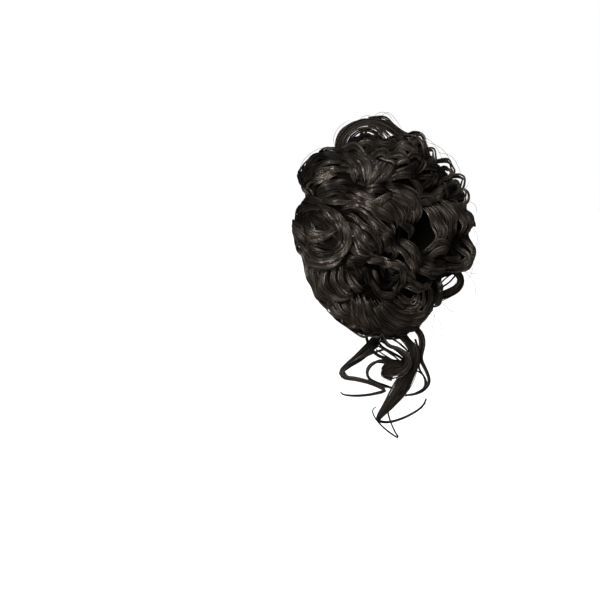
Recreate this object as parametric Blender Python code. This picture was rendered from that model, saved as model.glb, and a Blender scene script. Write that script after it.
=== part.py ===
"""Top knot hairpiece: curls fused into a ring round an elastic band, with loose locks hanging below.

The elastic band goes round a ponytail. Its centre is the origin, +Z is up as worn, -Y points out
of the back of the knot and +Y out of the side it is worn against. Points are in metres. Tables are
in millimetres and degrees.
"""

import math
import random
from collections import namedtuple

import bmesh
import bpy
from mathutils import Vector

for old in list(bpy.data.objects):
    bpy.data.objects.remove(old)

# Driving dimensions of the knot
MM = 0.001
KNOT_HALF_WIDTH = 88 * MM
KNOT_RISE = 85 * MM
KNOT_DROP = 93 * MM
OUTER_DEPTH = 48 * MM
LOWER_DEPTH_LOSS = 18 * MM
WORN_SIDE_DEPTH = 34 * MM
CURL_RELIEF = 11 * MM
HOLE_RADIUS = 26.3 * MM
HOLE_SQUARENESS = 0.42
GAP = 0.3 * MM

# The elastic band lies in the knot's narrowest place
ELASTIC_THICKNESS = 5.4 * MM
ELASTIC_RADIUS = HOLE_RADIUS - GAP - ELASTIC_THICKNESS / 2
ELASTIC_STEPS = 36
ELASTIC_SIDES = 6

# The way for the ponytail stays clear of curls
CLEAR_RADIUS = 20.4 * MM
CLEAR_REACH = 80 * MM
CLEAR_CORE = 2 * MM

# The dense roll of hair that the curls grow from
ROLL_STEPS_ROUND = 24
ROLL_STEPS_TUBE = 10

# How a curl is made
CURL_LEAST_STEPS = 5
BEND_A_STEP = 42
CURL_SIDES = 5
CURL_DEPTH_SHARE = 0.4
CURL_ROOT_DEPTH = 4 * MM
CURL_TIP_SHARE = 0.35
BLUNTNESS = 0.45
RISE_STEEPNESS = 0.7
SEED = 7
WELD_DISTANCE = 0.02 * MM

# How a loose lock is made
LOCK_STEP = 5.2 * MM
LOCK_SIDES = 5
LOCK_DEPTH_SHARE = 0.42
LOCK_ROUND_WIDTH = 2.2 * MM

# The side that shows best: the back left, seen level
ACROSS = Vector((1, -1, 0)).normalized()
TOWARD = Vector((-1, -1, 0)).normalized()
DOWN = Vector((0, 0, -1))


def power(value, exponent):
    """value raised to exponent, keeping its sign."""
    return math.copysign(abs(value) ** exponent, value)


def knot_point(theta, phi, height):
    """A point over the roll and the outward direction there.

    theta goes round the band from +X over the top. phi goes round the roll from its rim (0) by the
    back of the knot (90) into the hole (180), and -90 is on the worn side.
    """
    half_height = KNOT_RISE if math.sin(theta) > 0 else KNOT_DROP
    reach = math.hypot(KNOT_HALF_WIDTH * math.cos(theta), half_height * math.sin(theta))
    reach -= CURL_RELIEF
    middle = (reach + HOLE_RADIUS) / 2
    half_width = (reach - HOLE_RADIUS) / 2
    outer_depth = OUTER_DEPTH - LOWER_DEPTH_LOSS * max(0, -math.sin(theta)) ** 1.5
    half_depth = (outer_depth if math.sin(phi) > 0 else WORN_SIDE_DEPTH) - CURL_RELIEF
    square = HOLE_SQUARENESS if math.cos(phi) < 0 else 1
    radial = Vector((math.cos(theta), 0, math.sin(theta)))
    on_roll = radial * (middle + half_width * power(math.cos(phi), square))
    on_roll.y = -half_depth * power(math.sin(phi), square)
    out = radial * (power(math.cos(phi), 2 - square) * half_depth)
    out.y = -power(math.sin(phi), 2 - square) * half_width
    out.normalize()
    return on_roll + out * height, out


def material(name, colour, roughness):
    made = bpy.data.materials.new(name)
    made.use_nodes = True
    shader = made.node_tree.nodes["Principled BSDF"]
    shader.inputs["Base Color"].default_value = (*colour, 1)
    shader.inputs["Roughness"].default_value = roughness
    shader.inputs["Metallic"].default_value = 0
    return made


def finish_object(name, bm, finish, collection=None):
    """A new object from bm, shaded smooth and facing out."""
    bmesh.ops.recalc_face_normals(bm, faces=bm.faces)
    mesh = bpy.data.meshes.new(name)
    bm.to_mesh(mesh)
    bm.free()
    mesh.shade_smooth()
    mesh.materials.append(finish)
    made = bpy.data.objects.new(name, mesh)
    (collection or bpy.context.scene.collection).objects.link(made)
    return made


def bridge(bm, rings, closed):
    """Faces between neighbouring rings of points, and the last to the first if closed."""
    for i in range(len(rings) - (0 if closed else 1)):
        ring, after = rings[i], rings[(i + 1) % len(rings)]
        for k in range(len(ring)):
            other = (k + 1) % len(ring)
            bm.faces.new((ring[k], ring[other], after[other], after[k]))


def swept(name, sections, sides, finish, collection=None):
    """A lock of hair: an oval drawn along sections, each a centre, facing, half width and depth."""
    bm = bmesh.new()
    rings = []
    last = len(sections) - 1
    for i, (centre, facing, half_width, half_depth) in enumerate(sections):
        ahead = (sections[min(i + 1, last)][0] - sections[max(i - 1, 0)][0]).normalized()
        across = ahead.cross(facing).normalized()
        up = across.cross(ahead)
        ring = []
        for k in range(sides):
            turn = 2 * math.pi * k / sides
            side = across * (half_width * math.cos(turn))
            ring.append(bm.verts.new(centre + side + up * (half_depth * math.sin(turn))))
        rings.append(ring)
    bridge(bm, rings, closed=False)
    bm.faces.new(rings[0])
    bm.faces.new(rings[-1])
    return finish_object(name, bm, finish, collection)


def turned(name, profile, finish, collection=None):
    """A ring round the Y axis, from a closed profile of radius and y."""
    bm = bmesh.new()
    rings = []
    for i in range(ELASTIC_STEPS):
        theta = 2 * math.pi * i / ELASTIC_STEPS
        ring = []
        for radius, y in profile:
            ring.append(bm.verts.new((radius * math.cos(theta), y, radius * math.sin(theta))))
        rings.append(ring)
    bridge(bm, rings, closed=True)
    return finish_object(name, bm, finish, collection)


def make_elastic(finish):
    profile = []
    for k in range(ELASTIC_SIDES):
        turn = 2 * math.pi * (k + 0.5) / ELASTIC_SIDES
        radius = ELASTIC_RADIUS + ELASTIC_THICKNESS / 2 * math.cos(turn)
        profile.append((radius, ELASTIC_THICKNESS / 2 * math.sin(turn)))
    return turned("elastic_band", profile, finish)


def make_ponytail_way(finish, collection):
    """What is cut away for the ponytail, with a groove for the elastic band."""
    groove = ELASTIC_THICKNESS / 2 + GAP
    profile = [
        (CLEAR_CORE, -CLEAR_REACH),
        (CLEAR_RADIUS, -CLEAR_REACH),
        (CLEAR_RADIUS, -groove),
        (HOLE_RADIUS, -groove),
        (HOLE_RADIUS, groove),
        (CLEAR_RADIUS, groove),
        (CLEAR_RADIUS, CLEAR_REACH),
        (CLEAR_CORE, CLEAR_REACH),
    ]
    hide(turned("ponytail_way", profile, finish, collection))


def make_roll(finish):
    bm = bmesh.new()
    rings = []
    for i in range(ROLL_STEPS_ROUND):
        theta = 2 * math.pi * i / ROLL_STEPS_ROUND
        ring = []
        for k in range(ROLL_STEPS_TUBE):
            phi = 2 * math.pi * k / ROLL_STEPS_TUBE
            ring.append(bm.verts.new(knot_point(theta, phi, 0)[0]))
        rings.append(ring)
    bridge(bm, rings, closed=True)
    return finish_object("roll_to_fuse", bm, finish)


# A curl's middle lies at theta and phi. heading is its direction there, 0 round the band and 90
# over the roll towards the hole. bend is how far it turns from root to tip, and wave makes it an S.
Curl = namedtuple("Curl", "theta phi heading bend wave length width lift")

# The curls that show best are placed as seen from the back left: across and down from the band's
# centre, with aim and bend anticlockwise as seen, and aim 0 to the right.
SeenCurl = namedtuple("SeenCurl", "across down aim bend wave length width lift")
SEEN_CURLS = [
    # across down aim bend wave length width lift
    SeenCurl(25, -76, -25, -60, 0, 62, 17, 9),
    SeenCurl(-55, -57, 35, -70, 0, 70, 18, 12),
    SeenCurl(-43, -45, 5, 70, 0, 66, 18, 9),
    SeenCurl(-20, -58, -60, 50, 0, 62, 18, 9),
    SeenCurl(0, -56, -112, -40, 0, 60, 17, 9),
    SeenCurl(21, -52, -12, -90, 0, 70, 17, 9),
    SeenCurl(17, -35, -35, -120, 0, 92, 20, 11),
    SeenCurl(-25, -33, -22, 30, 25, 84, 20, 9),
    SeenCurl(11, -12, -80, -200, 0, 96, 21, 11),
    SeenCurl(-5, -9, -62, -90, 0, 62, 17, 8),
    SeenCurl(-27, 10, -82, -225, 0, 108, 21, 12),
    SeenCurl(-46, -1, 4, -70, 0, 62, 17, 9),
    SeenCurl(-66, -12, -95, 50, 0, 80, 18, 12),
    SeenCurl(-52, -22, -30, -60, 0, 70, 18, 9),
    SeenCurl(23, 20, -72, 0, 40, 90, 18, 10),
    SeenCurl(3, 47, 0, 230, 0, 92, 17, 12),
    SeenCurl(25, 70, 18, 150, 0, 116, 20, 9),
    SeenCurl(14, 63, 10, 165, 0, 84, 18, 10),
    SeenCurl(-52, 45, -60, 30, 0, 108, 20, 8),
    SeenCurl(-39, 40, -50, 60, 0, 84, 20, 9),
    SeenCurl(-17, 67, -48, 50, 0, 96, 20, 8),
    SeenCurl(49, -2, -85, -90, 0, 78, 17, 8),
    SeenCurl(63, 18, -100, -120, 0, 84, 18, 11),
    SeenCurl(48, -56, -50, -165, 0, 62, 16, 10),
    SeenCurl(60, -40, -70, -185, 0, 62, 16, 12),
    SeenCurl(41, -32, 20, 145, 0, 58, 16, 9),
    SeenCurl(64, -17, -80, -150, 0, 70, 17, 12),
    SeenCurl(40, 37, -20, 85, 0, 72, 18, 9),
    SeenCurl(-30, 32, -8, 60, 0, 60, 17, 9),
]

# Rings of plainer curls that fill the rest of the knot
Row = namedtuple("Row", "phi count first_theta bend length width lift")
ROWS = [
    # phi count first_theta bend length width lift
    Row(-88, 5, 12, 150, 74, 24, 3),
    Row(-46, 9, 20, 180, 90, 23, 9),
    Row(-6, 9, 8, 190, 90, 22, 11),
    Row(34, 7, 30, 190, 88, 21, 11),
    Row(70, 6, 10, 180, 80, 20, 8),
    Row(112, 4, 10, 120, 50, 18, 3),
]
ROW_JITTER = 7
HEADING_JITTER = 28
CLEAR_OF_SEEN = 25 * MM
SEARCH_STEP = 4
SEARCH_TILTS = range(-110, 131, SEARCH_STEP)
NEARER_IS_BETTER = 0.15
NUDGE = 1e-4


def frame_at(theta, phi):
    """The place on the roll, and how it moves for each radian of theta and of phi."""
    here = knot_point(theta, phi, 0)[0]
    around = (knot_point(theta + NUDGE, phi, 0)[0] - here) / NUDGE
    over = (knot_point(theta, phi + NUDGE, 0)[0] - here) / NUDGE
    return here, around, over


def placed(seen):
    """The curl that shows where seen says: theta and phi are searched for over the near side."""
    best = None
    for turn in range(0, 360, SEARCH_STEP):
        for tilt in SEARCH_TILTS:
            theta, phi = math.radians(turn), math.radians(tilt)
            point, out = knot_point(theta, phi, seen.lift * MM)
            if out.dot(TOWARD) < 0:
                continue
            miss = math.hypot(point.dot(ACROSS) - seen.across * MM, point.dot(DOWN) - seen.down * MM)
            miss -= NEARER_IS_BETTER * point.dot(TOWARD)
            if best is None or miss < best[0]:
                best = (miss, theta, phi)
    theta, phi = best[1:]
    _, around, over = frame_at(theta, phi)
    around.normalize()
    over.normalize()
    right, up = math.cos(math.radians(seen.aim)), math.sin(math.radians(seen.aim))
    a, b, c, d = around.dot(ACROSS), over.dot(ACROSS), -around.dot(DOWN), -over.dot(DOWN)
    mirrored = math.copysign(1, a * d - b * c)
    heading = math.atan2(mirrored * (a * up - c * right), mirrored * (d * right - b * up))
    return Curl(
        math.degrees(theta),
        math.degrees(phi),
        math.degrees(heading),
        mirrored * seen.bend,
        mirrored * seen.wave,
        seen.length,
        seen.width,
        seen.lift,
    )


def all_curls():
    """The curls that show best, then those of each row, which turn left and right by turns."""
    chance = random.Random(SEED)
    curls = [placed(seen) for seen in SEEN_CURLS]
    middles = [knot_point(math.radians(c.theta), math.radians(c.phi), 0)[0] for c in curls]
    for row in ROWS:
        for i in range(row.count):
            theta = row.first_theta + 360 * i / row.count + chance.uniform(-ROW_JITTER, ROW_JITTER)
            phi = row.phi + chance.uniform(-ROW_JITTER, ROW_JITTER)
            heading = 90 + chance.uniform(-HEADING_JITTER, HEADING_JITTER)
            bend = (row.bend if i % 2 else -row.bend) * chance.uniform(0.85, 1.1)
            length = row.length * chance.uniform(0.9, 1.1)
            here = knot_point(math.radians(theta), math.radians(phi), 0)[0]
            if min((here - middle).length for middle in middles) > CLEAR_OF_SEEN:
                curls.append(Curl(theta, phi, heading, bend, 0, length, row.width, row.lift))
    return curls


def curl_places(curl, steps):
    """theta and phi along one curl, walked over the roll from its middle both ways."""
    step = curl.length * MM / steps
    places = {}
    for way in (1, -1):
        theta, phi = math.radians(curl.theta), math.radians(curl.phi)
        for i in range(steps // 2 + 1):
            places[way * i] = (theta, phi)
            along = way * (i + 0.5) / steps
            heading = curl.heading + curl.bend * along + curl.wave * math.sin(2 * math.pi * along)
            _, around, over = frame_at(theta, phi)
            theta += way * step * math.cos(math.radians(heading)) / around.length
            phi += way * step * math.sin(math.radians(heading)) / over.length
    return [places[key] for key in sorted(places)]


def taper(share):
    """1 over most of a curl, and less at its ends."""
    arch = max(math.sin(math.pi * share), 0)
    return CURL_TIP_SHARE + (1 - CURL_TIP_SHARE) * arch**BLUNTNESS


def make_curl(name, curl, finish, collection):
    steps = CURL_LEAST_STEPS + round((abs(curl.bend) + 2 * abs(curl.wave)) / BEND_A_STEP)
    places = curl_places(curl, steps)
    sections = []
    for number, (theta, phi) in enumerate(places):
        share = number / (len(places) - 1)
        half_width = curl.width * MM / 2 * taper(share)
        rise = max(math.sin(math.pi * share), 0) ** RISE_STEEPNESS
        height = -CURL_ROOT_DEPTH + (CURL_ROOT_DEPTH + curl.lift * MM) * rise
        height -= curl.width * MM * CURL_DEPTH_SHARE / 2
        centre, out = knot_point(theta, phi, height)
        sections.append((centre, out, half_width, half_width * CURL_DEPTH_SHARE))
    return swept(name, sections, CURL_SIDES, finish, collection)


# Loose locks, one row for each bend from root to tip, as seen from the back left: across and down
# from the band's centre, toward the viewer, and the lock's width there
Bend = namedtuple("Bend", "across down toward width")
LOOSE_LOCKS = {
    "crown_loop": [
        # across down toward width
        Bend(-37, -56, 2, 7),
        Bend(-34.5, -70, 3, 8),
        Bend(-27, -81, 4, 9),
        Bend(-16, -87, 4, 10),
        Bend(-4, -88, 4, 11),
        Bend(7, -84.6, 3, 11),
        Bend(16, -77, 2, 9),
        Bend(23, -66, 1, 7),
    ],
    "side_loop": [
        # across down toward width
        Bend(40, 28, -17, 4),
        Bend(50, 28.5, -17, 3.4),
        Bend(60, 30, -17, 3.4),
        Bend(65, 36, -17, 3.6),
        Bend(61.5, 43, -16, 4),
        Bend(50, 49, -15, 4.4),
        Bend(38, 53, -14, 4.4),
    ],
    "tendril_main": [
        # across down toward width
        Bend(12, 73, 2, 4),
        Bend(21, 85, 4, 4),
        Bend(26.4, 91, 5, 4.6),
        Bend(27, 97.5, 5, 6.5),
        Bend(24, 106.4, 4, 10),
        Bend(16.8, 121, 3, 13),
        Bend(7.2, 135, 3, 9.5),
        Bend(-1.4, 146.4, 2, 5),
        Bend(-1.6, 151, -2.5, 3),
        Bend(6, 152.4, -5, 2.6),
        Bend(16, 149.8, -5, 2.4),
        Bend(26, 144.6, -3, 2.2),
        Bend(33.2, 138.6, 0, 2),
        Bend(36, 132.4, 2, 1.6),
    ],
    "tendril_outer": [
        # across down toward width
        Bend(24, 66, -6, 4),
        Bend(27.5, 75.5, -6, 5),
        Bend(32, 81.6, -6, 5.6),
        Bend(33.4, 89, -6, 6),
        Bend(31.8, 97, -5, 5),
        Bend(32.4, 102.4, -4, 3.4),
        Bend(37.6, 113.5, -3, 3.2),
        Bend(38.6, 120.4, -4, 3),
        Bend(34.4, 126.4, -5.5, 2.6),
        Bend(27.4, 129.6, -6, 2.4),
        Bend(20, 130.8, -6, 2),
    ],
    "tendril_hook": [
        # across down toward width
        Bend(-3, 74, 7, 3.4),
        Bend(3.8, 87.6, 9, 3.2),
        Bend(13.6, 91.6, 10, 3.4),
        Bend(20, 97, 11, 4.6),
        Bend(20.8, 102.4, 11.5, 6.4),
        Bend(17, 107.6, 11.5, 8),
        Bend(10.4, 110.6, 11, 9),
        Bend(4, 111.4, 10.5, 8),
        Bend(-0.6, 110.4, 10, 5.4),
    ],
    "tendril_strand": [
        # across down toward width
        Bend(-7, 76, -2, 2.6),
        Bend(-1.5, 89, -2.5, 2.4),
        Bend(7, 95, -2.5, 2.4),
        Bend(15.6, 100, -2.5, 2.4),
        Bend(20.8, 105.4, -2.5, 2.6),
        Bend(21.6, 112.4, -2.8, 2.4),
        Bend(17.6, 120, -3, 2),
    ],
    "tendril_loop": [
        # across down toward width
        Bend(-14, 76, 3, 2.8),
        Bend(-10.5, 89, 3.6, 2.6),
        Bend(-3.6, 96.8, 4, 2.6),
        Bend(5, 100, 4, 2.6),
        Bend(11.6, 102.6, 3.6, 2.6),
        Bend(11, 104.6, 0.4, 2.6),
        Bend(4.8, 103.8, -0.6, 2.6),
        Bend(-4.6, 103, -1, 2.8),
        Bend(-10, 106.4, -1, 3),
        Bend(-11.6, 111.4, -1.4, 3.2),
        Bend(-9.6, 116.8, -2, 3),
        Bend(-3, 120.4, -3, 2.8),
        Bend(3.2, 122.6, -4, 2.6),
        Bend(9.6, 125, -5, 2),
    ],
    "tendril_long": [
        # across down toward width
        Bend(2, 72, -9, 6),
        Bend(-4, 86, -9, 8),
        Bend(-15.6, 97.4, -6, 8),
        Bend(-26.4, 105.2, -2, 5.6),
        Bend(-32.4, 111, 1, 4.2),
        Bend(-29.6, 115, 2, 4),
        Bend(-20.4, 116.4, 2.6, 3.8),
        Bend(-10.6, 118.8, 3, 3.6),
        Bend(-1.4, 122.6, 3, 3.4),
        Bend(2.8, 125.6, 2.4, 3),
        Bend(-1.6, 127.6, 1, 2.8),
        Bend(-11, 129.6, 0, 2.4),
        Bend(-21, 130.4, -1, 2.2),
        Bend(-30, 129.6, -1, 1.8),
        Bend(-33, 127.4, -1, 1.4),
    ],
    "tendril_tip": [
        # across down toward width
        Bend(5.8, 137, 3, 1.6),
        Bend(5.2, 144, 3, 1.6),
        Bend(7.8, 152.4, 3, 1.6),
        Bend(11.4, 160, 3.4, 1.6),
        Bend(14, 164, 4.2, 1.6),
        Bend(7.6, 160, 5.4, 1.6),
        Bend(-0.2, 153.4, 6.4, 1.6),
        Bend(-5.6, 146.8, 6.8, 1.6),
        Bend(-7.4, 141, 6.4, 1.5),
        Bend(-4.4, 138.6, 5.6, 1.3),
    ],
}


def smooth_curve(points, step):
    """Points about a step apart along the smooth curve through points."""
    ends = [points[0] * 2 - points[1], *points, points[-1] * 2 - points[-2]]
    curve = []
    for before, start, end, after in zip(ends, ends[1:], ends[2:], ends[3:]):
        count = max(1, round((end - start).length / step))
        for i in range(count):
            t = i / count
            bow = (end - before) * t
            bow += (before * 2 - start * 5 + end * 4 - after) * t**2
            bow += (start * 3 - before - end * 3 + after) * t**3
            curve.append(start + bow / 2)
    curve.append(points[-1])
    return curve


def lock_sections(bends, swell):
    """The sections of a loose lock, swell thicker all round and longer at its root."""
    rows = []
    for bend in bends:
        place = ACROSS * bend.across + DOWN * bend.down + TOWARD * bend.toward
        rows.append(Vector((*place, bend.width)))
    curve = [row * MM for row in smooth_curve(rows, LOCK_STEP / MM)]
    centres = [row.to_3d() for row in curve]
    if swell:
        centres[0] = centres[0] + (centres[0] - centres[1]).normalized() * swell
    sections = []
    facing = TOWARD
    last = len(centres) - 1
    for i, (centre, row) in enumerate(zip(centres, curve)):
        ahead = (centres[min(i + 1, last)] - centres[max(i - 1, 0)]).normalized()
        facing = (facing - ahead * facing.dot(ahead)).normalized()
        half_width = row.w / 2
        half_depth = max(half_width * LOCK_DEPTH_SHARE, min(half_width, LOCK_ROUND_WIDTH / 2))
        sections.append((centre, facing, half_width + swell, half_depth + swell))
    return sections


def fused(name, body, collection, operation):
    """body joined with or cut by everything in collection, without slivers or sealed pockets."""
    fuse = body.modifiers.new("fuse", "BOOLEAN")
    fuse.operation = operation
    fuse.operand_type = "COLLECTION"
    fuse.collection = collection
    fuse.solver = "EXACT"
    graph = bpy.context.evaluated_depsgraph_get()
    bm = bmesh.new()
    bm.from_mesh(body.evaluated_get(graph).to_mesh())
    finish = body.data.materials[0]
    bpy.data.objects.remove(body)
    bmesh.ops.triangulate(bm, faces=bm.faces)
    bmesh.ops.remove_doubles(bm, verts=bm.verts, dist=WELD_DISTANCE)
    pinched = [edge for edge in bm.edges if len(edge.link_faces) > 2]
    bmesh.ops.collapse(bm, edges=pinched)
    skins = islands(bm)
    largest = max(skins, key=len)
    inner = [face for skin in skins if skin is not largest for face in skin]
    bmesh.ops.delete(bm, geom=inner, context="FACES")
    return finish_object(name, bm, finish)


def islands(bm):
    """The groups of faces that meet along an edge which only two faces share."""
    groups, seen = [], set()
    for start in bm.faces:
        if start in seen:
            continue
        group, ahead = [], [start]
        seen.add(start)
        while ahead:
            face = ahead.pop()
            group.append(face)
            for edge in face.edges:
                for other in edge.link_faces if len(edge.link_faces) == 2 else ():
                    if other not in seen:
                        seen.add(other)
                        ahead.append(other)
        groups.append(group)
    return groups


def operands(name):
    """A collection for shapes that are joined into or cut from another."""
    made = bpy.data.collections.new(name)
    bpy.context.scene.collection.children.link(made)
    return made


def hide(guide):
    guide.hide_render = True
    guide.display_type = "WIRE"


hair = material("hair_black", (0.012, 0.010, 0.009), 0.38)
elastic_black = material("elastic_black", (0.02, 0.02, 0.02), 0.8)

make_elastic(elastic_black)

curls_to_fuse = operands("curls_to_fuse")
for number, curl in enumerate(all_curls()):
    hide(make_curl(f"curl_{number:02d}", curl, hair, curls_to_fuse))
mass = fused("uncut_mass", make_roll(hair), curls_to_fuse, "UNION")

# Each loose lock grows out of a close socket
sockets = operands("sockets")
make_ponytail_way(hair, sockets)
tip_socket = operands("tip_socket")
clearance = GAP / math.cos(math.pi / LOCK_SIDES)
for name, bends in LOOSE_LOCKS.items():
    swept(name, lock_sections(bends, 0), LOCK_SIDES, hair)
    where = tip_socket if name == "tendril_tip" else sockets
    hide(swept(name + "_socket", lock_sections(bends, clearance), LOCK_SIDES, hair, where))
fused("curl_mass", mass, sockets, "DIFFERENCE")
main_lock = bpy.data.objects["tendril_main"]
main_lock.name = "uncut_main"
fused("tendril_main", main_lock, tip_socket, "DIFFERENCE")
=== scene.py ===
# %% [markdown]
# # A curly top knot, strand by strand
# The real hairpiece is a few thousand long, glossy synthetic strands. They are sewn to an elastic
# ring and set in curls, so that each lock leaves the ring, bows up and turns back under the next.
# Blender has a hair system, but this knot has to stay a mesh that any program can open. So every
# strand here is a thin closed tube, and numpy works out all of their points at once.

import math
import random
from collections import namedtuple

import bpy
import numpy as np
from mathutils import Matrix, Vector


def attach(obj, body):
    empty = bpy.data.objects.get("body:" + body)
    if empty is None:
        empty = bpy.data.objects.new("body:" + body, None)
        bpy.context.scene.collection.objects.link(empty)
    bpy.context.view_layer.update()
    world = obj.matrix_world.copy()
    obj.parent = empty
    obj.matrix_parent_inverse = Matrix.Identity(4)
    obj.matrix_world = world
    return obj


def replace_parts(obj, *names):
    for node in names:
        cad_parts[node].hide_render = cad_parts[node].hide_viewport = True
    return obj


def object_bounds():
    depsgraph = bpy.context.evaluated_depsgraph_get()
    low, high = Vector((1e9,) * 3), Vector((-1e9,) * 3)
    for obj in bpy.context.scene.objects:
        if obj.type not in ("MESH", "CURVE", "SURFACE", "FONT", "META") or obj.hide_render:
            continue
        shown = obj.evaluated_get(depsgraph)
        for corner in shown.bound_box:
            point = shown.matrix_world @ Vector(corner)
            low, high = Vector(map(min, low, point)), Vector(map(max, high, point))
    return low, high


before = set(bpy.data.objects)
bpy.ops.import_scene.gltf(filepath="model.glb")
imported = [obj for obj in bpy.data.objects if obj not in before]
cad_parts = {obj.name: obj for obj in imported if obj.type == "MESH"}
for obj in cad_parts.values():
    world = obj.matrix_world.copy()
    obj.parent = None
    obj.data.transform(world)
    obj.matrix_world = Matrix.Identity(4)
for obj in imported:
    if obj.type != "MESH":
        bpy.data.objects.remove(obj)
cad_low, cad_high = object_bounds()
MM = 0.001
print("solids:", sorted(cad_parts))
print("their box, in mm:", [round(side / MM, 1) for side in cad_high - cad_low])

# %% [markdown]
# ## The camera comes first
# Every later step is judged from one place, so the camera is made before anything else. It looks
# at the knot's back left, almost level, from a little over a metre away. A long lens keeps the
# shapes flat, as in a product picture.

# %% Place the camera
CAMERA_AZIMUTH = math.radians(-45)
CAMERA_ELEVATION = math.radians(4)
CAMERA_DISTANCE = 1.25
FRAME_PIXELS = 600
PIXEL = 0.8 * MM
BAND_AT_PIXEL = (382, 234)
SENSOR = 36

back = Vector((
    math.sin(CAMERA_AZIMUTH) * math.cos(CAMERA_ELEVATION),
    -math.cos(CAMERA_AZIMUTH) * math.cos(CAMERA_ELEVATION),
    math.sin(CAMERA_ELEVATION),
))
right = Vector((math.cos(CAMERA_AZIMUTH), math.sin(CAMERA_AZIMUTH), 0))
above = back.cross(right)
middle_pixel = FRAME_PIXELS / 2
aim = right * ((middle_pixel - BAND_AT_PIXEL[0]) * PIXEL)
aim += above * ((BAND_AT_PIXEL[1] - middle_pixel) * PIXEL)

camera = bpy.data.objects.new("camera", bpy.data.cameras.new("camera"))
bpy.context.scene.collection.objects.link(camera)
camera.location = aim + back * CAMERA_DISTANCE
camera.rotation_mode = "QUATERNION"
camera.rotation_quaternion = (-back).to_track_quat("-Z", "Y")
camera.data.sensor_width = SENSOR
camera.data.lens = SENSOR * CAMERA_DISTANCE / (FRAME_PIXELS * PIXEL)
bpy.context.scene.camera = camera
print("lens:", round(camera.data.lens, 1), "mm")

# %% [markdown]
# ## Soft studio light
# Dark glossy hair shows mostly what it reflects. A large soft light above on the left draws the
# pale bands over each bend, one below it lights the undersides, and two weak ones open the
# shadows. A white studio would wash every strand with grey, so the world shows white to the
# camera and lights the hair only a little. A sun lights the wide pale floor evenly, and the
# floor throws no light back.

# %% Light the studio
WORLD_GLOW = 0.12
SUN_STRENGTH = 4.2
SUN_SOFTNESS = math.radians(30)
SUN_PLACE = (-70, 62)
FLOOR_HEIGHT = cad_low.z - 0.25
FLOOR_COLOUR = (0.9, 0.9, 0.9, 1)
FLOOR_ROUGHNESS = 0.9
FLOOR_RADIUS = 30
FLOOR_STEPS = 64
Softbox = namedtuple("Softbox", "name azimuth elevation distance size watts")
SOFTBOXES = [
    # name azimuth elevation distance size watts
    Softbox("key_light", -60, 24, 1.5, 0.8, 50),
    Softbox("low_light", -72, -13, 1.5, 0.6, 38),
    Softbox("fill_light", 10, 25, 1.8, 0.8, 13),
    Softbox("rim_light", 150, 50, 1.5, 0.8, 6),
]


def direction(azimuth, elevation):
    """The way from the knot to a place round it, in degrees; azimuth 0 is at its back."""
    a, e = math.radians(azimuth), math.radians(elevation)
    return Vector((math.sin(a) * math.cos(e), -math.cos(a) * math.cos(e), math.sin(e)))


def remapped(tree, value, before, after):
    """A value in a node tree, moved from the range before to the range after."""
    made = tree.nodes.new("ShaderNodeMapRange")
    for name, number in zip(("From Min", "From Max", "To Min", "To Max"), (*before, *after)):
        made.inputs[name].default_value = number
    tree.links.new(value, made.inputs["Value"])
    return made.outputs["Result"]


for box in SOFTBOXES:
    light = bpy.data.objects.new(box.name, bpy.data.lights.new(box.name, "AREA"))
    bpy.context.scene.collection.objects.link(light)
    towards = direction(box.azimuth, box.elevation)
    light.location = towards * box.distance
    light.rotation_mode = "QUATERNION"
    light.rotation_quaternion = towards.to_track_quat("Z", "Y")
    light.data.shape = "DISK"
    light.data.size = box.size
    light.data.energy = box.watts

world = bpy.data.worlds.new("white_studio")
world.use_nodes = True
glow = world.node_tree.nodes["Background"]
glow.inputs["Color"].default_value = (1, 1, 1, 1)
rays = world.node_tree.nodes.new("ShaderNodeLightPath")
strength = remapped(world.node_tree, rays.outputs["Is Camera Ray"], (0, 1), (WORLD_GLOW, 1))
world.node_tree.links.new(strength, glow.inputs["Strength"])
bpy.context.scene.world = world

sun = bpy.data.objects.new("sun", bpy.data.lights.new("sun", "SUN"))
bpy.context.scene.collection.objects.link(sun)
sun.data.energy = SUN_STRENGTH
sun.data.angle = SUN_SOFTNESS
lit_by_sun = bpy.data.collections.new("lit_by_sun")
sun.light_linking.receiver_collection = lit_by_sun
sun.rotation_mode = "QUATERNION"
sun.rotation_quaternion = direction(*SUN_PLACE).to_track_quat("Z", "Y")
bpy.context.scene.view_settings.view_transform = "Standard"

turns = np.linspace(0, 2 * np.pi, FLOOR_STEPS, endpoint=False)
rim = np.stack([np.cos(turns), np.sin(turns), np.zeros(FLOOR_STEPS)], -1) * FLOOR_RADIUS
floor_mesh = bpy.data.meshes.new("floor")
floor_mesh.from_pydata(rim.tolist(), [], [list(range(FLOOR_STEPS))])
floor = bpy.data.objects.new("floor", floor_mesh)
bpy.context.scene.collection.objects.link(floor)
floor.location.z = FLOOR_HEIGHT
floor_paint = bpy.data.materials.new("pale_floor")
floor_paint.use_nodes = True
floor_shader = floor_paint.node_tree.nodes["Principled BSDF"]
floor_shader.inputs["Base Color"].default_value = FLOOR_COLOUR
floor_shader.inputs["Roughness"].default_value = FLOOR_ROUGHNESS
floor_shader.inputs["Specular IOR Level"].default_value = 0
floor_mesh.materials.append(floor_paint)
lit_by_sun.objects.link(floor)
floor.visible_diffuse = False
floor.visible_glossy = False
print("lights:", [box.name for box in SOFTBOXES])
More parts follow.
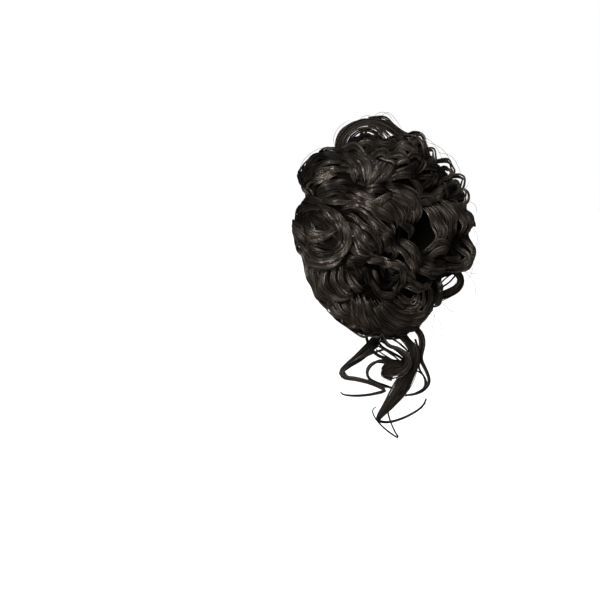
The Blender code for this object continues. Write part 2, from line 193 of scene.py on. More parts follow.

# %% [markdown]
# ## A finish for hair
# The strands are black with a little brown, and no two have quite the same tone. A picture of
# strands on a smooth body would slide and blur, so the tone belongs to each strand: a UV map
# holds the tone from left to right, and the way from root to tip upwards. The shader reads both.
# The darkest tones, which also carry painted shade between the locks, are dull and mirror little light as
# well.

# %% Mix the hair finish
STRAND_MAP = "OFBake"
TONES = [
    # place on the map, colour
    (0.00, (0.0020, 0.0017, 0.0015)),
    (0.35, (0.0090, 0.0070, 0.0055)),
    (0.75, (0.0170, 0.0125, 0.0095)),
    (1.00, (0.0230, 0.0175, 0.0138)),
]
DULL_TO_GLOSSY = (0.12, 0.55)
DULL_TO_GLOSSY_ROUGHNESS = (0.95, 0.24)
DULL_TO_GLOSSY_SHINE = (0.02, 1)
HAIR_SHINE = 0.5
HAIR_SHINE_TINT = (1, 0.9, 0.8)
ROOT_TO_TIP_BRIGHTNESS = (0.75, 1.25)
STRIPES_ACROSS, STRIPES_ALONG = 20, 1.2
STRIPE_DETAIL = 3
STRIPE_NOISE = (0.3, 0.7)
STRIPE_BRIGHTNESS = (0.3, 1.8)
STRIPE_HEIGHT = 0.65 * MM


def new_material(name):
    """A material, its nodes, its links and its main shader."""
    made = bpy.data.materials.new(name)
    made.use_nodes = True
    tree = made.node_tree
    return made, tree.nodes, tree.links, tree.nodes["Principled BSDF"]


def hair_material(name, tones):
    made, nodes, links, shader = new_material(name)
    tree = made.node_tree
    spot = nodes.new("ShaderNodeUVMap")
    spot.uv_map = STRAND_MAP
    parts = nodes.new("ShaderNodeSeparateXYZ")
    links.new(spot.outputs["UV"], parts.inputs[0])
    tone, along = parts.outputs["X"], parts.outputs["Y"]

    ramp = nodes.new("ShaderNodeValToRGB")
    while len(ramp.color_ramp.elements) < len(tones):
        ramp.color_ramp.elements.new(0.5)
    for element, (place, colour) in zip(ramp.color_ramp.elements, tones):
        element.position = place
        element.color = (*colour, 1)
    links.new(tone, ramp.inputs["Fac"])

    stretch = nodes.new("ShaderNodeVectorMath")
    stretch.operation = "MULTIPLY"
    stretch.inputs[1].default_value = (STRIPES_ACROSS, STRIPES_ALONG, 0)
    links.new(spot.outputs["UV"], stretch.inputs[0])
    stripes = nodes.new("ShaderNodeTexNoise")
    stripes.inputs["Scale"].default_value = 1
    stripes.inputs["Detail"].default_value = STRIPE_DETAIL
    links.new(stretch.outputs["Vector"], stripes.inputs["Vector"])

    bright = nodes.new("ShaderNodeMath")
    bright.operation = "MULTIPLY"
    striped = remapped(tree, stripes.outputs["Fac"], STRIPE_NOISE, STRIPE_BRIGHTNESS)
    links.new(remapped(tree, along, (0, 1), ROOT_TO_TIP_BRIGHTNESS), bright.inputs[0])
    links.new(striped, bright.inputs[1])
    fade = nodes.new("ShaderNodeVectorMath")
    fade.operation = "SCALE"
    links.new(ramp.outputs["Color"], fade.inputs["Vector"])
    links.new(bright.outputs["Value"], fade.inputs["Scale"])
    links.new(fade.outputs["Vector"], shader.inputs["Base Color"])

    relief = nodes.new("ShaderNodeBump")
    relief.inputs["Distance"].default_value = STRIPE_HEIGHT
    links.new(stripes.outputs["Fac"], relief.inputs["Height"])
    links.new(relief.outputs["Normal"], shader.inputs["Normal"])

    # Roughness and the tint of the reflection follow the tone, so painted shade also dulls the hair and
    # painted highlights make it glossier.
    roughness = remapped(tree, tone, DULL_TO_GLOSSY, DULL_TO_GLOSSY_ROUGHNESS)
    links.new(roughness, shader.inputs["Roughness"])
    tint = nodes.new("ShaderNodeVectorMath")
    tint.operation = "SCALE"
    tint.inputs["Vector"].default_value = HAIR_SHINE_TINT
    links.new(remapped(tree, tone, DULL_TO_GLOSSY, DULL_TO_GLOSSY_SHINE), tint.inputs["Scale"])
    links.new(tint.outputs["Vector"], shader.inputs["Specular Tint"])
    shader.inputs["Specular IOR Level"].default_value = HAIR_SHINE
    return made


hair_finish = hair_material("black_brown_hair", TONES)
print("tones from root to tip:", len(TONES))

# %% [markdown]
# ## The shape under the curls
# The knot is a fat roll bent into a ring round the elastic. Two angles name every place on it:
# theta goes round the ring, and phi goes round the roll, from its rim over the back of the knot
# into the hole. The same rule shaped the solids, so strands that follow it lie where they do.

# %% Define the roll
KNOT_HALF_WIDTH = 88 * MM
KNOT_RISE = 85 * MM
KNOT_DROP = 93 * MM
OUTER_DEPTH = 48 * MM
LOWER_DEPTH_LOSS = 18 * MM
LOWER_LOSS_EXPONENT = 1.5
WORN_SIDE_DEPTH = 34 * MM
CURL_RELIEF = 11 * MM
HOLE_RADIUS = 26.3 * MM
HOLE_SQUARENESS = 0.42


def power(value, exponent):
    """value raised to exponent, keeping its sign."""
    return np.sign(value) * np.abs(value) ** exponent


def knot_point(theta, phi, height):
    """Points at a height over the roll, and the outward directions there."""
    half_height = np.where(np.sin(theta) > 0, KNOT_RISE, KNOT_DROP)
    reach = np.hypot(KNOT_HALF_WIDTH * np.cos(theta), half_height * np.sin(theta)) - CURL_RELIEF
    centre = (reach + HOLE_RADIUS) / 2
    half_width = (reach - HOLE_RADIUS) / 2
    outer_depth = OUTER_DEPTH - LOWER_DEPTH_LOSS * np.maximum(0, -np.sin(theta)) ** LOWER_LOSS_EXPONENT
    half_depth = np.where(np.sin(phi) > 0, outer_depth, WORN_SIDE_DEPTH) - CURL_RELIEF
    square = np.where(np.cos(phi) < 0, HOLE_SQUARENESS, 1)
    out_radial = power(np.cos(phi), 2 - square) * half_depth
    out_y = -power(np.sin(phi), 2 - square) * half_width
    length = np.hypot(out_radial, out_y)
    out_radial, out_y = out_radial / length, out_y / length
    radial = centre + half_width * power(np.cos(phi), square) + out_radial * height
    y = -half_depth * power(np.sin(phi), square) + out_y * height
    point = np.stack([radial * np.cos(theta), y, radial * np.sin(theta)], -1)
    out = np.stack([out_radial * np.cos(theta), out_y, out_radial * np.sin(theta)], -1)
    return point, out


NUDGE = 1e-4


def frame_at(theta, phi):
    """How a place on the roll moves for each radian of theta and of phi."""
    here = knot_point(theta, phi, 0)[0]
    around = (knot_point(theta + NUDGE, phi, 0)[0] - here) / NUDGE
    over = (knot_point(theta, phi + NUDGE, 0)[0] - here) / NUDGE
    return around, over


print("the roll's widest place, in mm:", np.round(knot_point(0.0, 0.0, 0)[0] / MM, 1))

# %% [markdown]
# ## Strands as thin tubes
# A strand needs a centre line, a thickness and a tone. Three sides are enough for a tube that is
# about a pixel wide, and both ends are closed, so the mesh is a solid that could be printed. The
# sides turn with the line by carrying one direction along it, which keeps the tube from twisting.

# %% Make tubes from centre lines
STRAND_SIDES = 3
MOST_TRIANGLES = 200_000
STRAND_SPREAD = 0.008
THICKNESS_ALONG = ((0, 0.75), (0.15, 1), (0.7, 1), (1, 0.4))
counts = {}


def link_mesh(name, points, loops, starts, uv, finish):
    """An object with these corners, faces and strand map."""
    mesh = bpy.data.meshes.new(name)
    mesh.vertices.add(len(points))
    mesh.vertices.foreach_set("co", points.astype(np.float32).ravel())
    mesh.loops.add(len(loops))
    mesh.loops.foreach_set("vertex_index", loops.astype(np.int32))
    mesh.polygons.add(len(starts))
    mesh.polygons.foreach_set("loop_start", starts.astype(np.int32))
    mesh.update(calc_edges=True)
    layer = mesh.uv_layers.new(name=STRAND_MAP)
    layer.uv.foreach_set("vector", uv[loops].astype(np.float32).ravel())
    mesh.shade_smooth()
    mesh.materials.append(finish)
    made = bpy.data.objects.new(name, mesh)
    bpy.context.scene.collection.objects.link(made)
    return made


def unit(vectors):
    return vectors / np.maximum(np.linalg.norm(vectors, axis=-1, keepdims=True), 1e-12)


def tube_mesh(name, lines, ups, width, depth, tones, sides=STRAND_SIDES, spread=STRAND_SPREAD):
    """One object of closed oval tubes along lines (tube, step, xyz), wide across and deep along ups."""
    tubes, steps = lines.shape[:2]
    ahead = unit(np.gradient(lines, axis=1))
    up = unit(ups - ahead * np.sum(ups * ahead, -1, keepdims=True))
    aside = np.cross(ahead, up)
    share = np.linspace(0, 1, steps)
    profile = np.interp(share, *zip(*THICKNESS_ALONG))[:, None, None]
    turn = 2 * np.pi * np.arange(sides) / sides
    half_width = np.reshape(width, (tubes, -1, 1, 1)) / 2 * profile
    half_depth = np.reshape(depth, (tubes, -1, 1, 1)) / 2 * profile
    ring = up[:, :, None] * np.cos(turn)[:, None] * half_depth
    ring = ring + aside[:, :, None] * np.sin(turn)[:, None] * half_width
    points = lines[:, :, None] + ring
    tone = np.clip(np.reshape(tones, (tubes, -1, 1)), spread, 1 - spread) + spread * np.sin(turn)
    uv = np.stack(np.broadcast_arrays(tone, share[None, :, None]), -1)

    first = np.arange(tubes)[:, None, None] * steps * sides
    row = np.arange(steps - 1)[None, :, None] * sides
    k = np.arange(sides)[None, None, :]
    after = (k + 1) % sides
    low, high = first + row, first + row + sides
    quads = np.stack([low + k, low + after, high + after, high + k], -1).reshape(-1)
    last = first[:, 0, :] + (steps - 1) * sides
    caps = np.concatenate([first[:, 0, :] + k[0, :, ::-1], last + k[0]], 1).reshape(-1)
    quad_starts = np.arange(0, len(quads), 4)
    cap_starts = len(quads) + np.arange(0, len(caps), sides)
    made = link_mesh(
        name,
        points.reshape(-1, 3),
        np.concatenate([quads, caps]),
        np.concatenate([quad_starts, cap_starts]),
        uv.reshape(-1, 2),
        hair_finish,
    )
    counts[name] = len(quad_starts) * 2 + len(cap_starts) * (sides - 2)
    assert counts[name] < MOST_TRIANGLES, f"{name} has {counts[name]} triangles"
    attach(made, "root")
    print(name, tubes, "tubes,", counts[name], "triangles")
    return made


# %% [markdown]
# ## The outline
# A knot set by hand is never a clean ring. Its outline as seen from the camera was drawn, and
# every point of the hair is moved in or out, more towards the edge than in the middle, so that the
# roll's plain outline becomes the drawn one. Hair that would still stand over it is drawn back.

# %% Settle hair into the outline
EYE, BACK, RIGHT, ABOVE = (np.array(way) for way in (camera.location, back, right, above))
ACROSS = np.array([1, -1, 0]) / math.sqrt(2)
TOWARD = np.array([-1, -1, 0]) / math.sqrt(2)
DOWN = np.array([0, 0, -1])
CURL_HEIGHT = 9 * MM
OUTLINE = [
    # places in the picture, across and down in pixels
    (350, 144), (370, 142), (388, 140), (402, 136), (415, 137), (423, 143), (427, 152), (436, 160),
    (446, 167), (452, 176), (459, 185), (464, 196), (464, 208), (471, 215), (475, 226), (471, 235),
    (476, 246), (475, 257), (467, 267), (452, 271), (443, 280), (441, 294), (438, 306), (424, 323),
    (401, 337), (382, 340), (365, 338), (340, 321), (318, 301), (309, 289), (303, 272), (297, 248),
    (293, 226), (293, 213), (297, 201), (304, 192), (301, 180), (299, 172), (306, 161), (322, 149),
    (336, 146),
]
SETTLED_FROM = 0.5
STRAY_SHARE = 0.3
EDGE_POINTS = 40
BEARINGS = np.radians(np.arange(-180, 181, 2))


def flat_places(pixels):
    """Places in the picture as metres across and down from the band."""
    return (np.array(pixels, float) - BAND_AT_PIXEL) * PIXEL


def seen_at(points):
    """Where the camera sees points, in metres across and down at the band, and how near they are."""
    offset = points - EYE
    near = CAMERA_DISTANCE / -(offset @ BACK)
    across, down = flat_places((middle_pixel, middle_pixel))
    return across + offset @ RIGHT * near, down - offset @ ABOVE * near, near


def reach_by_bearing(across, down):
    """The farthest that places reach on each bearing."""
    reach = np.zeros(len(BEARINGS))
    slot = np.round((np.arctan2(down, across) - BEARINGS[0]) / (BEARINGS[1] - BEARINGS[0])).astype(int)
    np.maximum.at(reach, slot, np.hypot(across, down))
    reach[0] = reach[-1] = max(reach[0], reach[-1])
    return reach


def drawn_reach():
    edge = np.repeat(flat_places(OUTLINE), EDGE_POINTS, axis=0)
    after = np.repeat(np.roll(flat_places(OUTLINE), -1, axis=0), EDGE_POINTS, axis=0)
    share = np.tile(np.arange(EDGE_POINTS) / EDGE_POINTS, len(OUTLINE))[:, None]
    return reach_by_bearing(*(edge + (after - edge) * share).T)


theta, phi = np.meshgrid(np.radians(np.arange(0, 360, 0.5)), np.radians(np.arange(-100, 120, 1)))
roll_places = knot_point(theta.ravel(), phi.ravel(), CURL_HEIGHT)[0]
roll_reach = reach_by_bearing(*seen_at(roll_places)[:2])
outline_reach = drawn_reach()


def settled(points):
    """points moved in the plane of the picture, so that the hair fills the drawn outline."""
    across, down, near = seen_at(points)
    far, bearing = np.hypot(across, down), np.arctan2(down, across)
    plain = np.interp(bearing, BEARINGS, roll_reach)
    drawn = np.interp(bearing, BEARINGS, outline_reach)
    share = np.clip((far / plain - SETTLED_FROM) / (1 - SETTLED_FROM), 0, 1)
    moved = far * (1 + (drawn / plain - 1) * share**2 * (3 - 2 * share))
    moved = np.where(moved > drawn, drawn + (moved - drawn) * STRAY_SHARE, moved)
    scale = (moved / np.maximum(far, 1e-9) - 1) / near
    return points + RIGHT * (across * scale)[..., None] - ABOVE * (down * scale)[..., None]


print("the roll is moved by up to", round(np.abs(outline_reach - roll_reach).max() / MM, 1), "mm")

# %% [markdown]
# ## Where the curls lie
# A curl on the roll is written in one short row: where its middle lies, which way it runs, how far
# it turns and how wide and high it is. The curls stand in rows round the roll, each turned a little
# by chance. The chance numbers come from a fixed seed, so that the knot is the same each time.

# %% Lay out the curls
SEED = 7
Curl = namedtuple("Curl", "theta phi heading bend wave length width lift")
Row = namedtuple("Row", "phi count first_theta bend length width lift")
ROWS = [
    # phi count first_theta bend length width lift
    Row(-88, 5, 12, 150, 74, 24, 3),
    Row(-46, 9, 20, 180, 90, 23, 9),
    Row(-6, 9, 8, 190, 90, 22, 11),
    Row(34, 7, 30, 190, 88, 21, 11),
    Row(70, 6, 10, 180, 80, 20, 8),
    Row(112, 4, 10, 120, 50, 18, 3),
]
UNDER_ROWS = [
    # phi count first_theta bend length width lift
    Row(-88, 14, 0, 70, 60, 17, 2),
    Row(-60, 16, 12, 80, 60, 17, 4),
    Row(-28, 18, 4, 90, 64, 17, 5),
    Row(4, 18, 14, 90, 64, 17, 5),
    Row(36, 16, 0, 90, 62, 17, 5),
    Row(68, 14, 9, 80, 58, 17, 4),
    Row(104, 12, 0, 60, 46, 15, 1),
    Row(150, 12, 14, 40, 40, 13, 1),
    Row(-130, 12, 4, 40, 40, 13, 1),
]
ROW_JITTER = 7
OVER_THE_ROLL = 90
HEADING_JITTER = 28
BEND_CHANGE = (0.85, 1.1)
LENGTH_CHANGE = (0.9, 1.1)
FACING_CAMERA = 0.25
LOWER_WHERE_CHARTED = 5
UNDER_LOWER_WHERE_CHARTED = 1


def in_rows(rows, chance, lower):
    """The curls of each row, which turn left and right by turns, lower where they face the camera."""
    curls = []
    for row in rows:
        for i in range(row.count):
            theta = row.first_theta + 360 * i / row.count + chance.uniform(-ROW_JITTER, ROW_JITTER)
            phi = row.phi + chance.uniform(-ROW_JITTER, ROW_JITTER)
            heading = OVER_THE_ROLL + chance.uniform(-HEADING_JITTER, HEADING_JITTER)
            bend = (row.bend if i % 2 else -row.bend) * chance.uniform(*BEND_CHANGE)
            length = row.length * chance.uniform(*LENGTH_CHANGE)
            facing = knot_point(math.radians(theta), math.radians(phi), 0)[1] @ TOWARD
            lift = row.lift - (lower if facing > FACING_CAMERA else 0)
            curls.append(Curl(theta, phi, heading, bend, 0, length, row.width, lift))
    return curls


row_curls = in_rows(ROWS, random.Random(SEED), LOWER_WHERE_CHARTED)
under_curls = in_rows(UNDER_ROWS, random.Random(SEED + 1), UNDER_LOWER_WHERE_CHARTED)
print(len(row_curls), "curls in rows and", len(under_curls), "under them")

# %% Part the curls into finer ones
FINER_CURLS = 4
FINER_WIDTH = 8.5
FINER_SPACING = 1.3
ASIDE_JITTER, AHEAD_JITTER = 1.5, 4
FINER_HEADING, FINER_BEND, FINER_WAVE = 13, 18, 30
FINER_BEND_CHANGE = (0.75, 1.25)
FINER_LENGTH_CHANGE = (0.7, 1.0)
FINER_WIDTH_CHANGE = (0.8, 1.2)
FINER_LIFT = (-3.5, 2.5)


def parted(curls, pieces, seed):
    """pieces finer curls in the place of each curl, side by side, over and under each other."""
    draw = np.random.default_rng(seed)
    finer = []
    for curl in curls:
        along = math.radians(curl.heading)
        here = (math.radians(curl.theta), math.radians(curl.phi))
        around, over = (np.linalg.norm(way) for way in frame_at(*here))
        for number in range(pieces):
            aside = ((number + 0.5) / pieces - 0.5) * (curl.width - FINER_WIDTH) * FINER_SPACING
            aside += draw.normal(0, ASIDE_JITTER)
            ahead = draw.normal(0, AHEAD_JITTER)
            side_step = (aside * math.cos(along + math.pi / 2) + ahead * math.cos(along)) * MM / around
            over_step = (aside * math.sin(along + math.pi / 2) + ahead * math.sin(along)) * MM / over
            finer.append(
                Curl(
                    curl.theta + math.degrees(side_step),
                    curl.phi + math.degrees(over_step),
                    curl.heading + draw.normal(0, FINER_HEADING),
                    curl.bend * draw.uniform(*FINER_BEND_CHANGE) + draw.normal(0, FINER_BEND),
                    curl.wave + draw.normal(0, FINER_WAVE),
                    curl.length * draw.uniform(*FINER_LENGTH_CHANGE),
                    FINER_WIDTH * draw.uniform(*FINER_WIDTH_CHANGE),
                    curl.lift + draw.uniform(*FINER_LIFT),
                )
            )
    return finer


row_locks = parted(row_curls, FINER_CURLS, SEED + 21)
print(len(row_locks), "finer locks in rows")

# %% [markdown]
# ## From a curl to its strands
# A real curl is a flat ribbon of hair that parts into wisps. Each strand belongs to one wisp,
# keeps its own place across the ribbon and wanders a little on its way. The ribbon is domed, dives
# under its neighbours at both ends, and rises and falls in waves, which is what breaks the light
# into short pale bands. Its outer edge stands higher than its inner one, so that the middle of a
# tight curl stays dark.

# %% Walk along the curls
PATH_SAMPLES = 81
Paths = namedtuple("Paths", "centre out side width lift bend above_roll")


def paths_of(curls, centre, out, above_roll):
    """What comb() needs of curls: centre lines, outward and sideways directions, and sizes."""
    table = np.array(curls, float)
    side = unit(np.cross(out, np.gradient(centre, axis=1)))
    return Paths(centre, out, side, table[:, 6], table[:, 7], table[:, 3], above_roll)


def walk(curls):
    """Curls laid on the roll itself, step by step from the middle of each."""
    theta_0, phi_0, heading_0, bend, wave = np.radians(np.array(curls, float)[:, :5]).T
    step = np.array(curls, float)[:, 5] * MM / (PATH_SAMPLES - 1)
    half = PATH_SAMPLES // 2
    angles = np.zeros((2, len(curls), PATH_SAMPLES))
    for way in (1, -1):
        theta, phi = theta_0.copy(), phi_0.copy()
        for i in range(half + 1):
            angles[:, :, half + way * i] = theta, phi
            along = way * (i + 0.5) / (PATH_SAMPLES - 1)
            heading = heading_0 + bend * along + wave * np.sin(2 * np.pi * along)
            around, over = (np.linalg.norm(scale, axis=-1) for scale in frame_at(theta, phi))
            theta = theta + way * step * np.cos(heading) / around
            phi = phi + way * step * np.sin(heading) / over
    return paths_of(curls, *knot_point(angles[0], angles[1], 0), 0)


# %% Comb strands along the curls
CURL_TIP_SHARE = 0.15
BLUNTNESS = 0.7
WAVE_LENGTH = 21
WAVE_HEIGHT = 1.3
CURL_ROOT_DEPTH = 4 * MM
CURL_DEPTH_SHARE = 0.4
WISP_SIDES = 6
WISP_OVERLAP = 1.6
WISP_FLATNESS = 0.22
STRAND_RISE = 0.35
WISP_DARKER = 0.1
WISP_SPREAD = 0.1
OUTER_EDGE_LIFT = 0.14
FEWEST_WISPS, FEWEST_STRANDS = 3, 2
LATEST_START, EARLIEST_END = 0.2, 0.7
STRAND_THICKNESS_CHANGE = (0.7, 1.15)
WISP_CHANCES = {
    # what each wisp draws for itself: the lowest and the highest value
    "start": (0, 0.14),
    "end": (0.78, 1),
    "aside": (-0.1, 0.1),
    "sway": (0, 0.12),
    "sway_turns": (0.6, 1.6),
    "sway_phase": (0, 1),
    "splay": (-0.2, 0.2),
    "rise": (-0.5, 0.5),
    "wave_phase": (-0.12, 0.12),
    "tone": (-0.3, 0.3),
}
STRAND_LOOSENESS = {"start": 0.02, "end": 0.03, "aside": 0.3, "splay": 0.08, "rise": 0.3, "tone": 0.22}
# The tone is darkened as painted shade, or raised as painted highlight, only on the near side.
PAINTED_SHADE_FROM = -20 * MM
DARKEST_PAINTED_SHADE = 0.96
PAINTED_SHADE_AND_HIGHLIGHT = [
    # places in the picture, across and down in pixels, how far they reach, and how much painted shade they
    # get: 1 is the darkest painted shade, for the bottom of a hollow, and less than 0 is a painted
    # highlight on a lock that stands out and shines
    (302, 213, 16, 1), (312, 212, 11, 1), (300, 180, 9, 1), (330, 246, 10, 1), (339, 236, 7, 1),
    (325, 225, 8, 0.9), (305, 172, 13, 1), (318, 157, 10, 1), (338, 153, 8, 1), (305, 243, 5, 1),
    (440, 167, 10, 0.8), (345, 187, 9, 1), (362, 186, 7, 1), (382, 187, 7, 1), (400, 184, 6, 1),
    (334, 186, 8, 0.8), (384, 280, 10, 1), (358, 265, 8, 1), (366, 276, 8, 1), (394, 240, 9, 1),
    (407, 226, 6, 1), (456, 240, 12, 1), (440, 262, 8, 1), (372, 146, 9, 0.8), (352, 148, 8, 0.8),
    (392, 146, 9, 0.8), (412, 168, 12, 0.7), (428, 186, 11, 0.8), (440, 175, 9, 0.8), (452, 190, 8, 1),
    (425, 155, 8, 0.8), (322, 190, 6, 0.8), (452, 262, 7, 0.8), (434, 292, 6, 0.6), (310, 205, 10, 1),
    (346, 274, 7, 0.6), (441, 218, 7, 0.6), (425, 259, 8, 0.8), (400, 292, 5, 0.7), (406, 250, 5, 0.5),
    (314, 237, 7, -1), (337, 260, 10, -1), (345, 217, 6, -1), (376, 299, 9, -1), (362, 320, 10, -1),
    (330, 300, 8, -0.6), (352, 292, 7, -1), (412, 304, 8, -1), (420, 316, 8, -0.8), (395, 322, 8, -0.8),
    (386, 232, 6, -0.6), (385, 256, 7, -0.8), (410, 262, 5, -0.8), (392, 268, 5, -1), (330, 152, 5, -0.6),
    (398, 196, 6, -0.6), (384, 204, 6, -0.6), (362, 198, 7, -0.6), (435, 246, 6, -1), (356, 170, 5, -0.8),
]


def painted_shade_and_highlight_at(points):
    """How much painted shade points on the near side get, up to 1, or less than 0 where a highlight is
    painted.
    """
    across, down, _ = seen_at(points)
    # The first grid gathers the painted shade, the second the painted highlights.
    painted_shade, ridge = np.zeros(across.shape), np.zeros(across.shape)
    for x, y, reach, depth in PAINTED_SHADE_AND_HIGHLIGHT:
        middle = flat_places((x, y))
        far = ((across - middle[0]) ** 2 + (down - middle[1]) ** 2) / (reach * PIXEL) ** 2
        painted_shade = np.maximum(painted_shade, depth * np.exp(-(far**2)))
        ridge = np.minimum(ridge, depth * np.exp(-(far**2)))
    return np.where(points @ TOWARD > PAINTED_SHADE_FROM, painted_shade * DARKEST_PAINTED_SHADE + ridge * (1 - painted_shade), 0)


def comb(
    name, paths, per_mm, steps, thickness, seed, tone=0.45, steepness=0.7, shape=settled, wisp_width=2.4
):
    """Objects of wisps along paths, and of strands on them, per_mm for each millimetre of a lock."""
    draw = np.random.default_rng(seed)
    locks = len(paths.width)
    wisps = np.maximum(FEWEST_WISPS, np.round(paths.width / wisp_width)).astype(int)
    most = wisps.max()
    length = np.linalg.norm(np.diff(paths.centre, axis=1), axis=-1).sum(1) / MM
    phases = draw.random(locks)
    chances = {what: draw.uniform(*limits, locks * most) for what, limits in WISP_CHANCES.items()}

    def lay(owner, wisp, loose):
        """Lines, outward directions and tones of tubes that belong to wisps, each a little loose."""
        own = {what: chance[owner * most + wisp][:, None] for what, chance in chances.items()}
        width, lift, bend = (row[owner][:, None] for row in (paths.width, paths.lift, paths.bend))

        def by_strand(what):
            return draw.normal(0, STRAND_LOOSENESS[what], len(owner))[:, None] * loose

        start = np.clip(own["start"] + by_strand("start"), 0, LATEST_START)
        end = np.clip(own["end"] + by_strand("end"), EARLIEST_END, 1)
        t = start + (end - start) * np.linspace(0, 1, steps)
        place = t * (PATH_SAMPLES - 1)
        before = np.minimum(place.astype(int), PATH_SAMPLES - 2)
        part = (place - before)[..., None]
        row = owner[:, None]
        centre, out, side = (
            way[row, before] * (1 - part) + way[row, before + 1] * part
            for way in (paths.centre, paths.out, paths.side)
        )
        arch = np.sin(np.pi * t)
        half_width = width * MM / 2 * (CURL_TIP_SHARE + (1 - CURL_TIP_SHARE) * arch**BLUNTNESS)
        u = (wisp[:, None] + 0.5) / wisps[owner][:, None] * 2 - 1 + own["aside"]
        u = u + by_strand("aside") * wisp_width / width
        u = u + own["sway"] * np.sin(2 * np.pi * (t * own["sway_turns"] + own["sway_phase"]))
        u = u + (by_strand("splay") + own["splay"]) * (2 * t - 1) ** 3
        dome = 1 - np.sqrt(np.clip(1 - u**2, 0, 1))
        height = -CURL_ROOT_DEPTH + (CURL_ROOT_DEPTH + lift * MM) * arch**steepness
        height = height - half_width * CURL_DEPTH_SHARE * dome
        height = height + own["rise"] * MM * arch + (STRAND_RISE * MM + by_strand("rise") * MM) * loose
        waves = t * length[row] / WAVE_LENGTH + (phases[owner][:, None] + own["wave_phase"])
        height = height + WAVE_HEIGHT * MM * arch * np.sin(2 * np.pi * waves)
        height = height + np.sign(bend) * u * OUTER_EDGE_LIFT * width * MM * arch
        lines = centre - side * (u * half_width)[..., None] + out * (height - paths.above_roll)[..., None]
        lines = shape(lines)
        # Each strand's random tone, darkened by painted shade and lightened by painted highlights.
        tones = (tone + own["tone"] + by_strand("tone")) * (1 - painted_shade_and_highlight_at(lines))
        return lines, out, tones, half_width

    owner = np.repeat(np.arange(locks), wisps)
    wisp = np.concatenate([np.arange(count) for count in wisps])
    lines, out, tones, half_width = lay(owner, wisp, 0)
    wide = 2 * half_width / wisps[owner][:, None] * WISP_OVERLAP
    deep, darker = wide * WISP_FLATNESS, tones - WISP_DARKER
    made = [tube_mesh(name + "_wisps", lines, out, wide, deep, darker, WISP_SIDES, WISP_SPREAD)]
    if per_mm:
        strands = np.maximum(FEWEST_STRANDS, np.round(paths.width * per_mm)).astype(int)
        owner = np.repeat(np.arange(locks), strands)
        wisp = (draw.random(len(owner)) * wisps[owner]).astype(int)
        lines, out, tones, half_width = lay(owner, wisp, 1)
        thick = thickness * MM * draw.uniform(*STRAND_THICKNESS_CHANGE, len(owner))
        made.append(tube_mesh(name, lines, out, thick, thick, tones))
    return made


# The hair under the rows gets a low tone, painted shade for the layer that lies beneath them.
knot_hair = comb(
    "under_hair", walk(under_curls), per_mm=0, steps=12, thickness=0, seed=SEED + 10, tone=0.2, wisp_width=4
)
for number, letter in enumerate("ab"):
    laid, seed = walk(row_locks[number::2]), SEED + 13 + number
    knot_hair += comb(f"row_hair_{letter}", laid, per_mm=0.9, steps=18, thickness=0.55, seed=seed)

# %% [markdown]
# ## The locks that show
# Seen close, the near side is over a hundred slim locks, and likeness is won or lost there. Laying
# them on the roll by angles would be guesswork. They are drawn flat instead, each through a few
# places in the picture, and then draped over the knot: the line of sight through each place is
# followed to where it meets a map of how far the near side comes towards the camera. The map
# bridges the hole, as real locks do, but never past the plane of the knot's back.

# %% Map the near side
MAP_CELL = 1 * MM
MAP_EDGE = 110
LAST_CELL = 2 * MAP_EDGE - 1.001
MAP_ANGLE_STEPS = (0.4, 0.8)
NOTHING_THERE = -200 * MM
HOLE_ACROSS = 22 * MM
HOLE_REACH = (28 * MM, 30 * MM)
HOLE_SLOPE = 0.3
EDGE_SLOPE = 1.4
MAP_SOFTENING = 6
BACK_PLANE = 46 * MM
SIGHT_STEPS = 5


def shifted(grid):
    """grid moved one cell each way, for looking at the neighbours of every cell at once."""
    padded = np.pad(grid, 1, mode="edge")
    size = len(grid)
    return [padded[i : i + size, k : k + size] for i, k in ((0, 1), (1, 0), (1, 2), (2, 1))]


def near_side_map():
    """How far the near side comes towards the camera, on a grid across and down."""
    theta, phi = np.meshgrid(*(np.radians(np.arange(0, 360, step)) for step in MAP_ANGLE_STEPS))
    points = settled(knot_point(theta.ravel(), phi.ravel(), CURL_HEIGHT)[0])
    size = 2 * MAP_EDGE + 1
    column = np.round(points @ ACROSS / MAP_CELL).astype(int) + MAP_EDGE
    line = np.round(points @ DOWN / MAP_CELL).astype(int) + MAP_EDGE
    near = np.full((size, size), NOTHING_THERE)
    np.maximum.at(near, (line, column), points @ TOWARD)
    down, across = np.indices(near.shape) * MAP_CELL - MAP_EDGE * MAP_CELL
    hole = ((across - HOLE_ACROSS) / HOLE_REACH[0]) ** 2 + (down / HOLE_REACH[1]) ** 2 < 1
    steepest = np.where(hole, HOLE_SLOPE, EDGE_SLOPE) * MAP_CELL
    for _ in range(MAP_EDGE):
        near = np.maximum(near, np.max(shifted(near), axis=0) - steepest)
    near = np.minimum(near, BACK_PLANE * math.sqrt(2) - across)
    for _ in range(MAP_SOFTENING):
        near = (sum(shifted(near)) + 2 * near) / 6
    return near


near_map = near_side_map()
slope_down, slope_across = np.gradient(near_map, MAP_CELL)


def look_up(grid, across, down):
    """The values of grid at places, blended between its cells."""
    x = np.clip(across / MAP_CELL + MAP_EDGE, 0, LAST_CELL)
    y = np.clip(down / MAP_CELL + MAP_EDGE, 0, LAST_CELL)
    i, k = y.astype(int), x.astype(int)
    a, b = y - i, x - k
    upper = grid[i, k] * (1 - b) + grid[i, k + 1] * b
    lower = grid[i + 1, k] * (1 - b) + grid[i + 1, k + 1] * b
    return upper * (1 - a) + lower * a


def on_near_side(pixels):
    """Where the lines of sight through places in the picture meet the near side."""
    sight = (pixels - middle_pixel) * PIXEL / CAMERA_DISTANCE
    sight = RIGHT * sight[..., :1] - ABOVE * sight[..., 1:] - BACK
    toward = np.zeros(sight.shape[:-1])
    for _ in range(SIGHT_STEPS):
        points = EYE + sight * ((toward - EYE @ TOWARD) / (sight @ TOWARD))[..., None]
        toward = look_up(near_map, points @ ACROSS, points @ DOWN)
    return points


print("the near side comes", round(near_map.max() / MM, 1), "mm towards the camera")

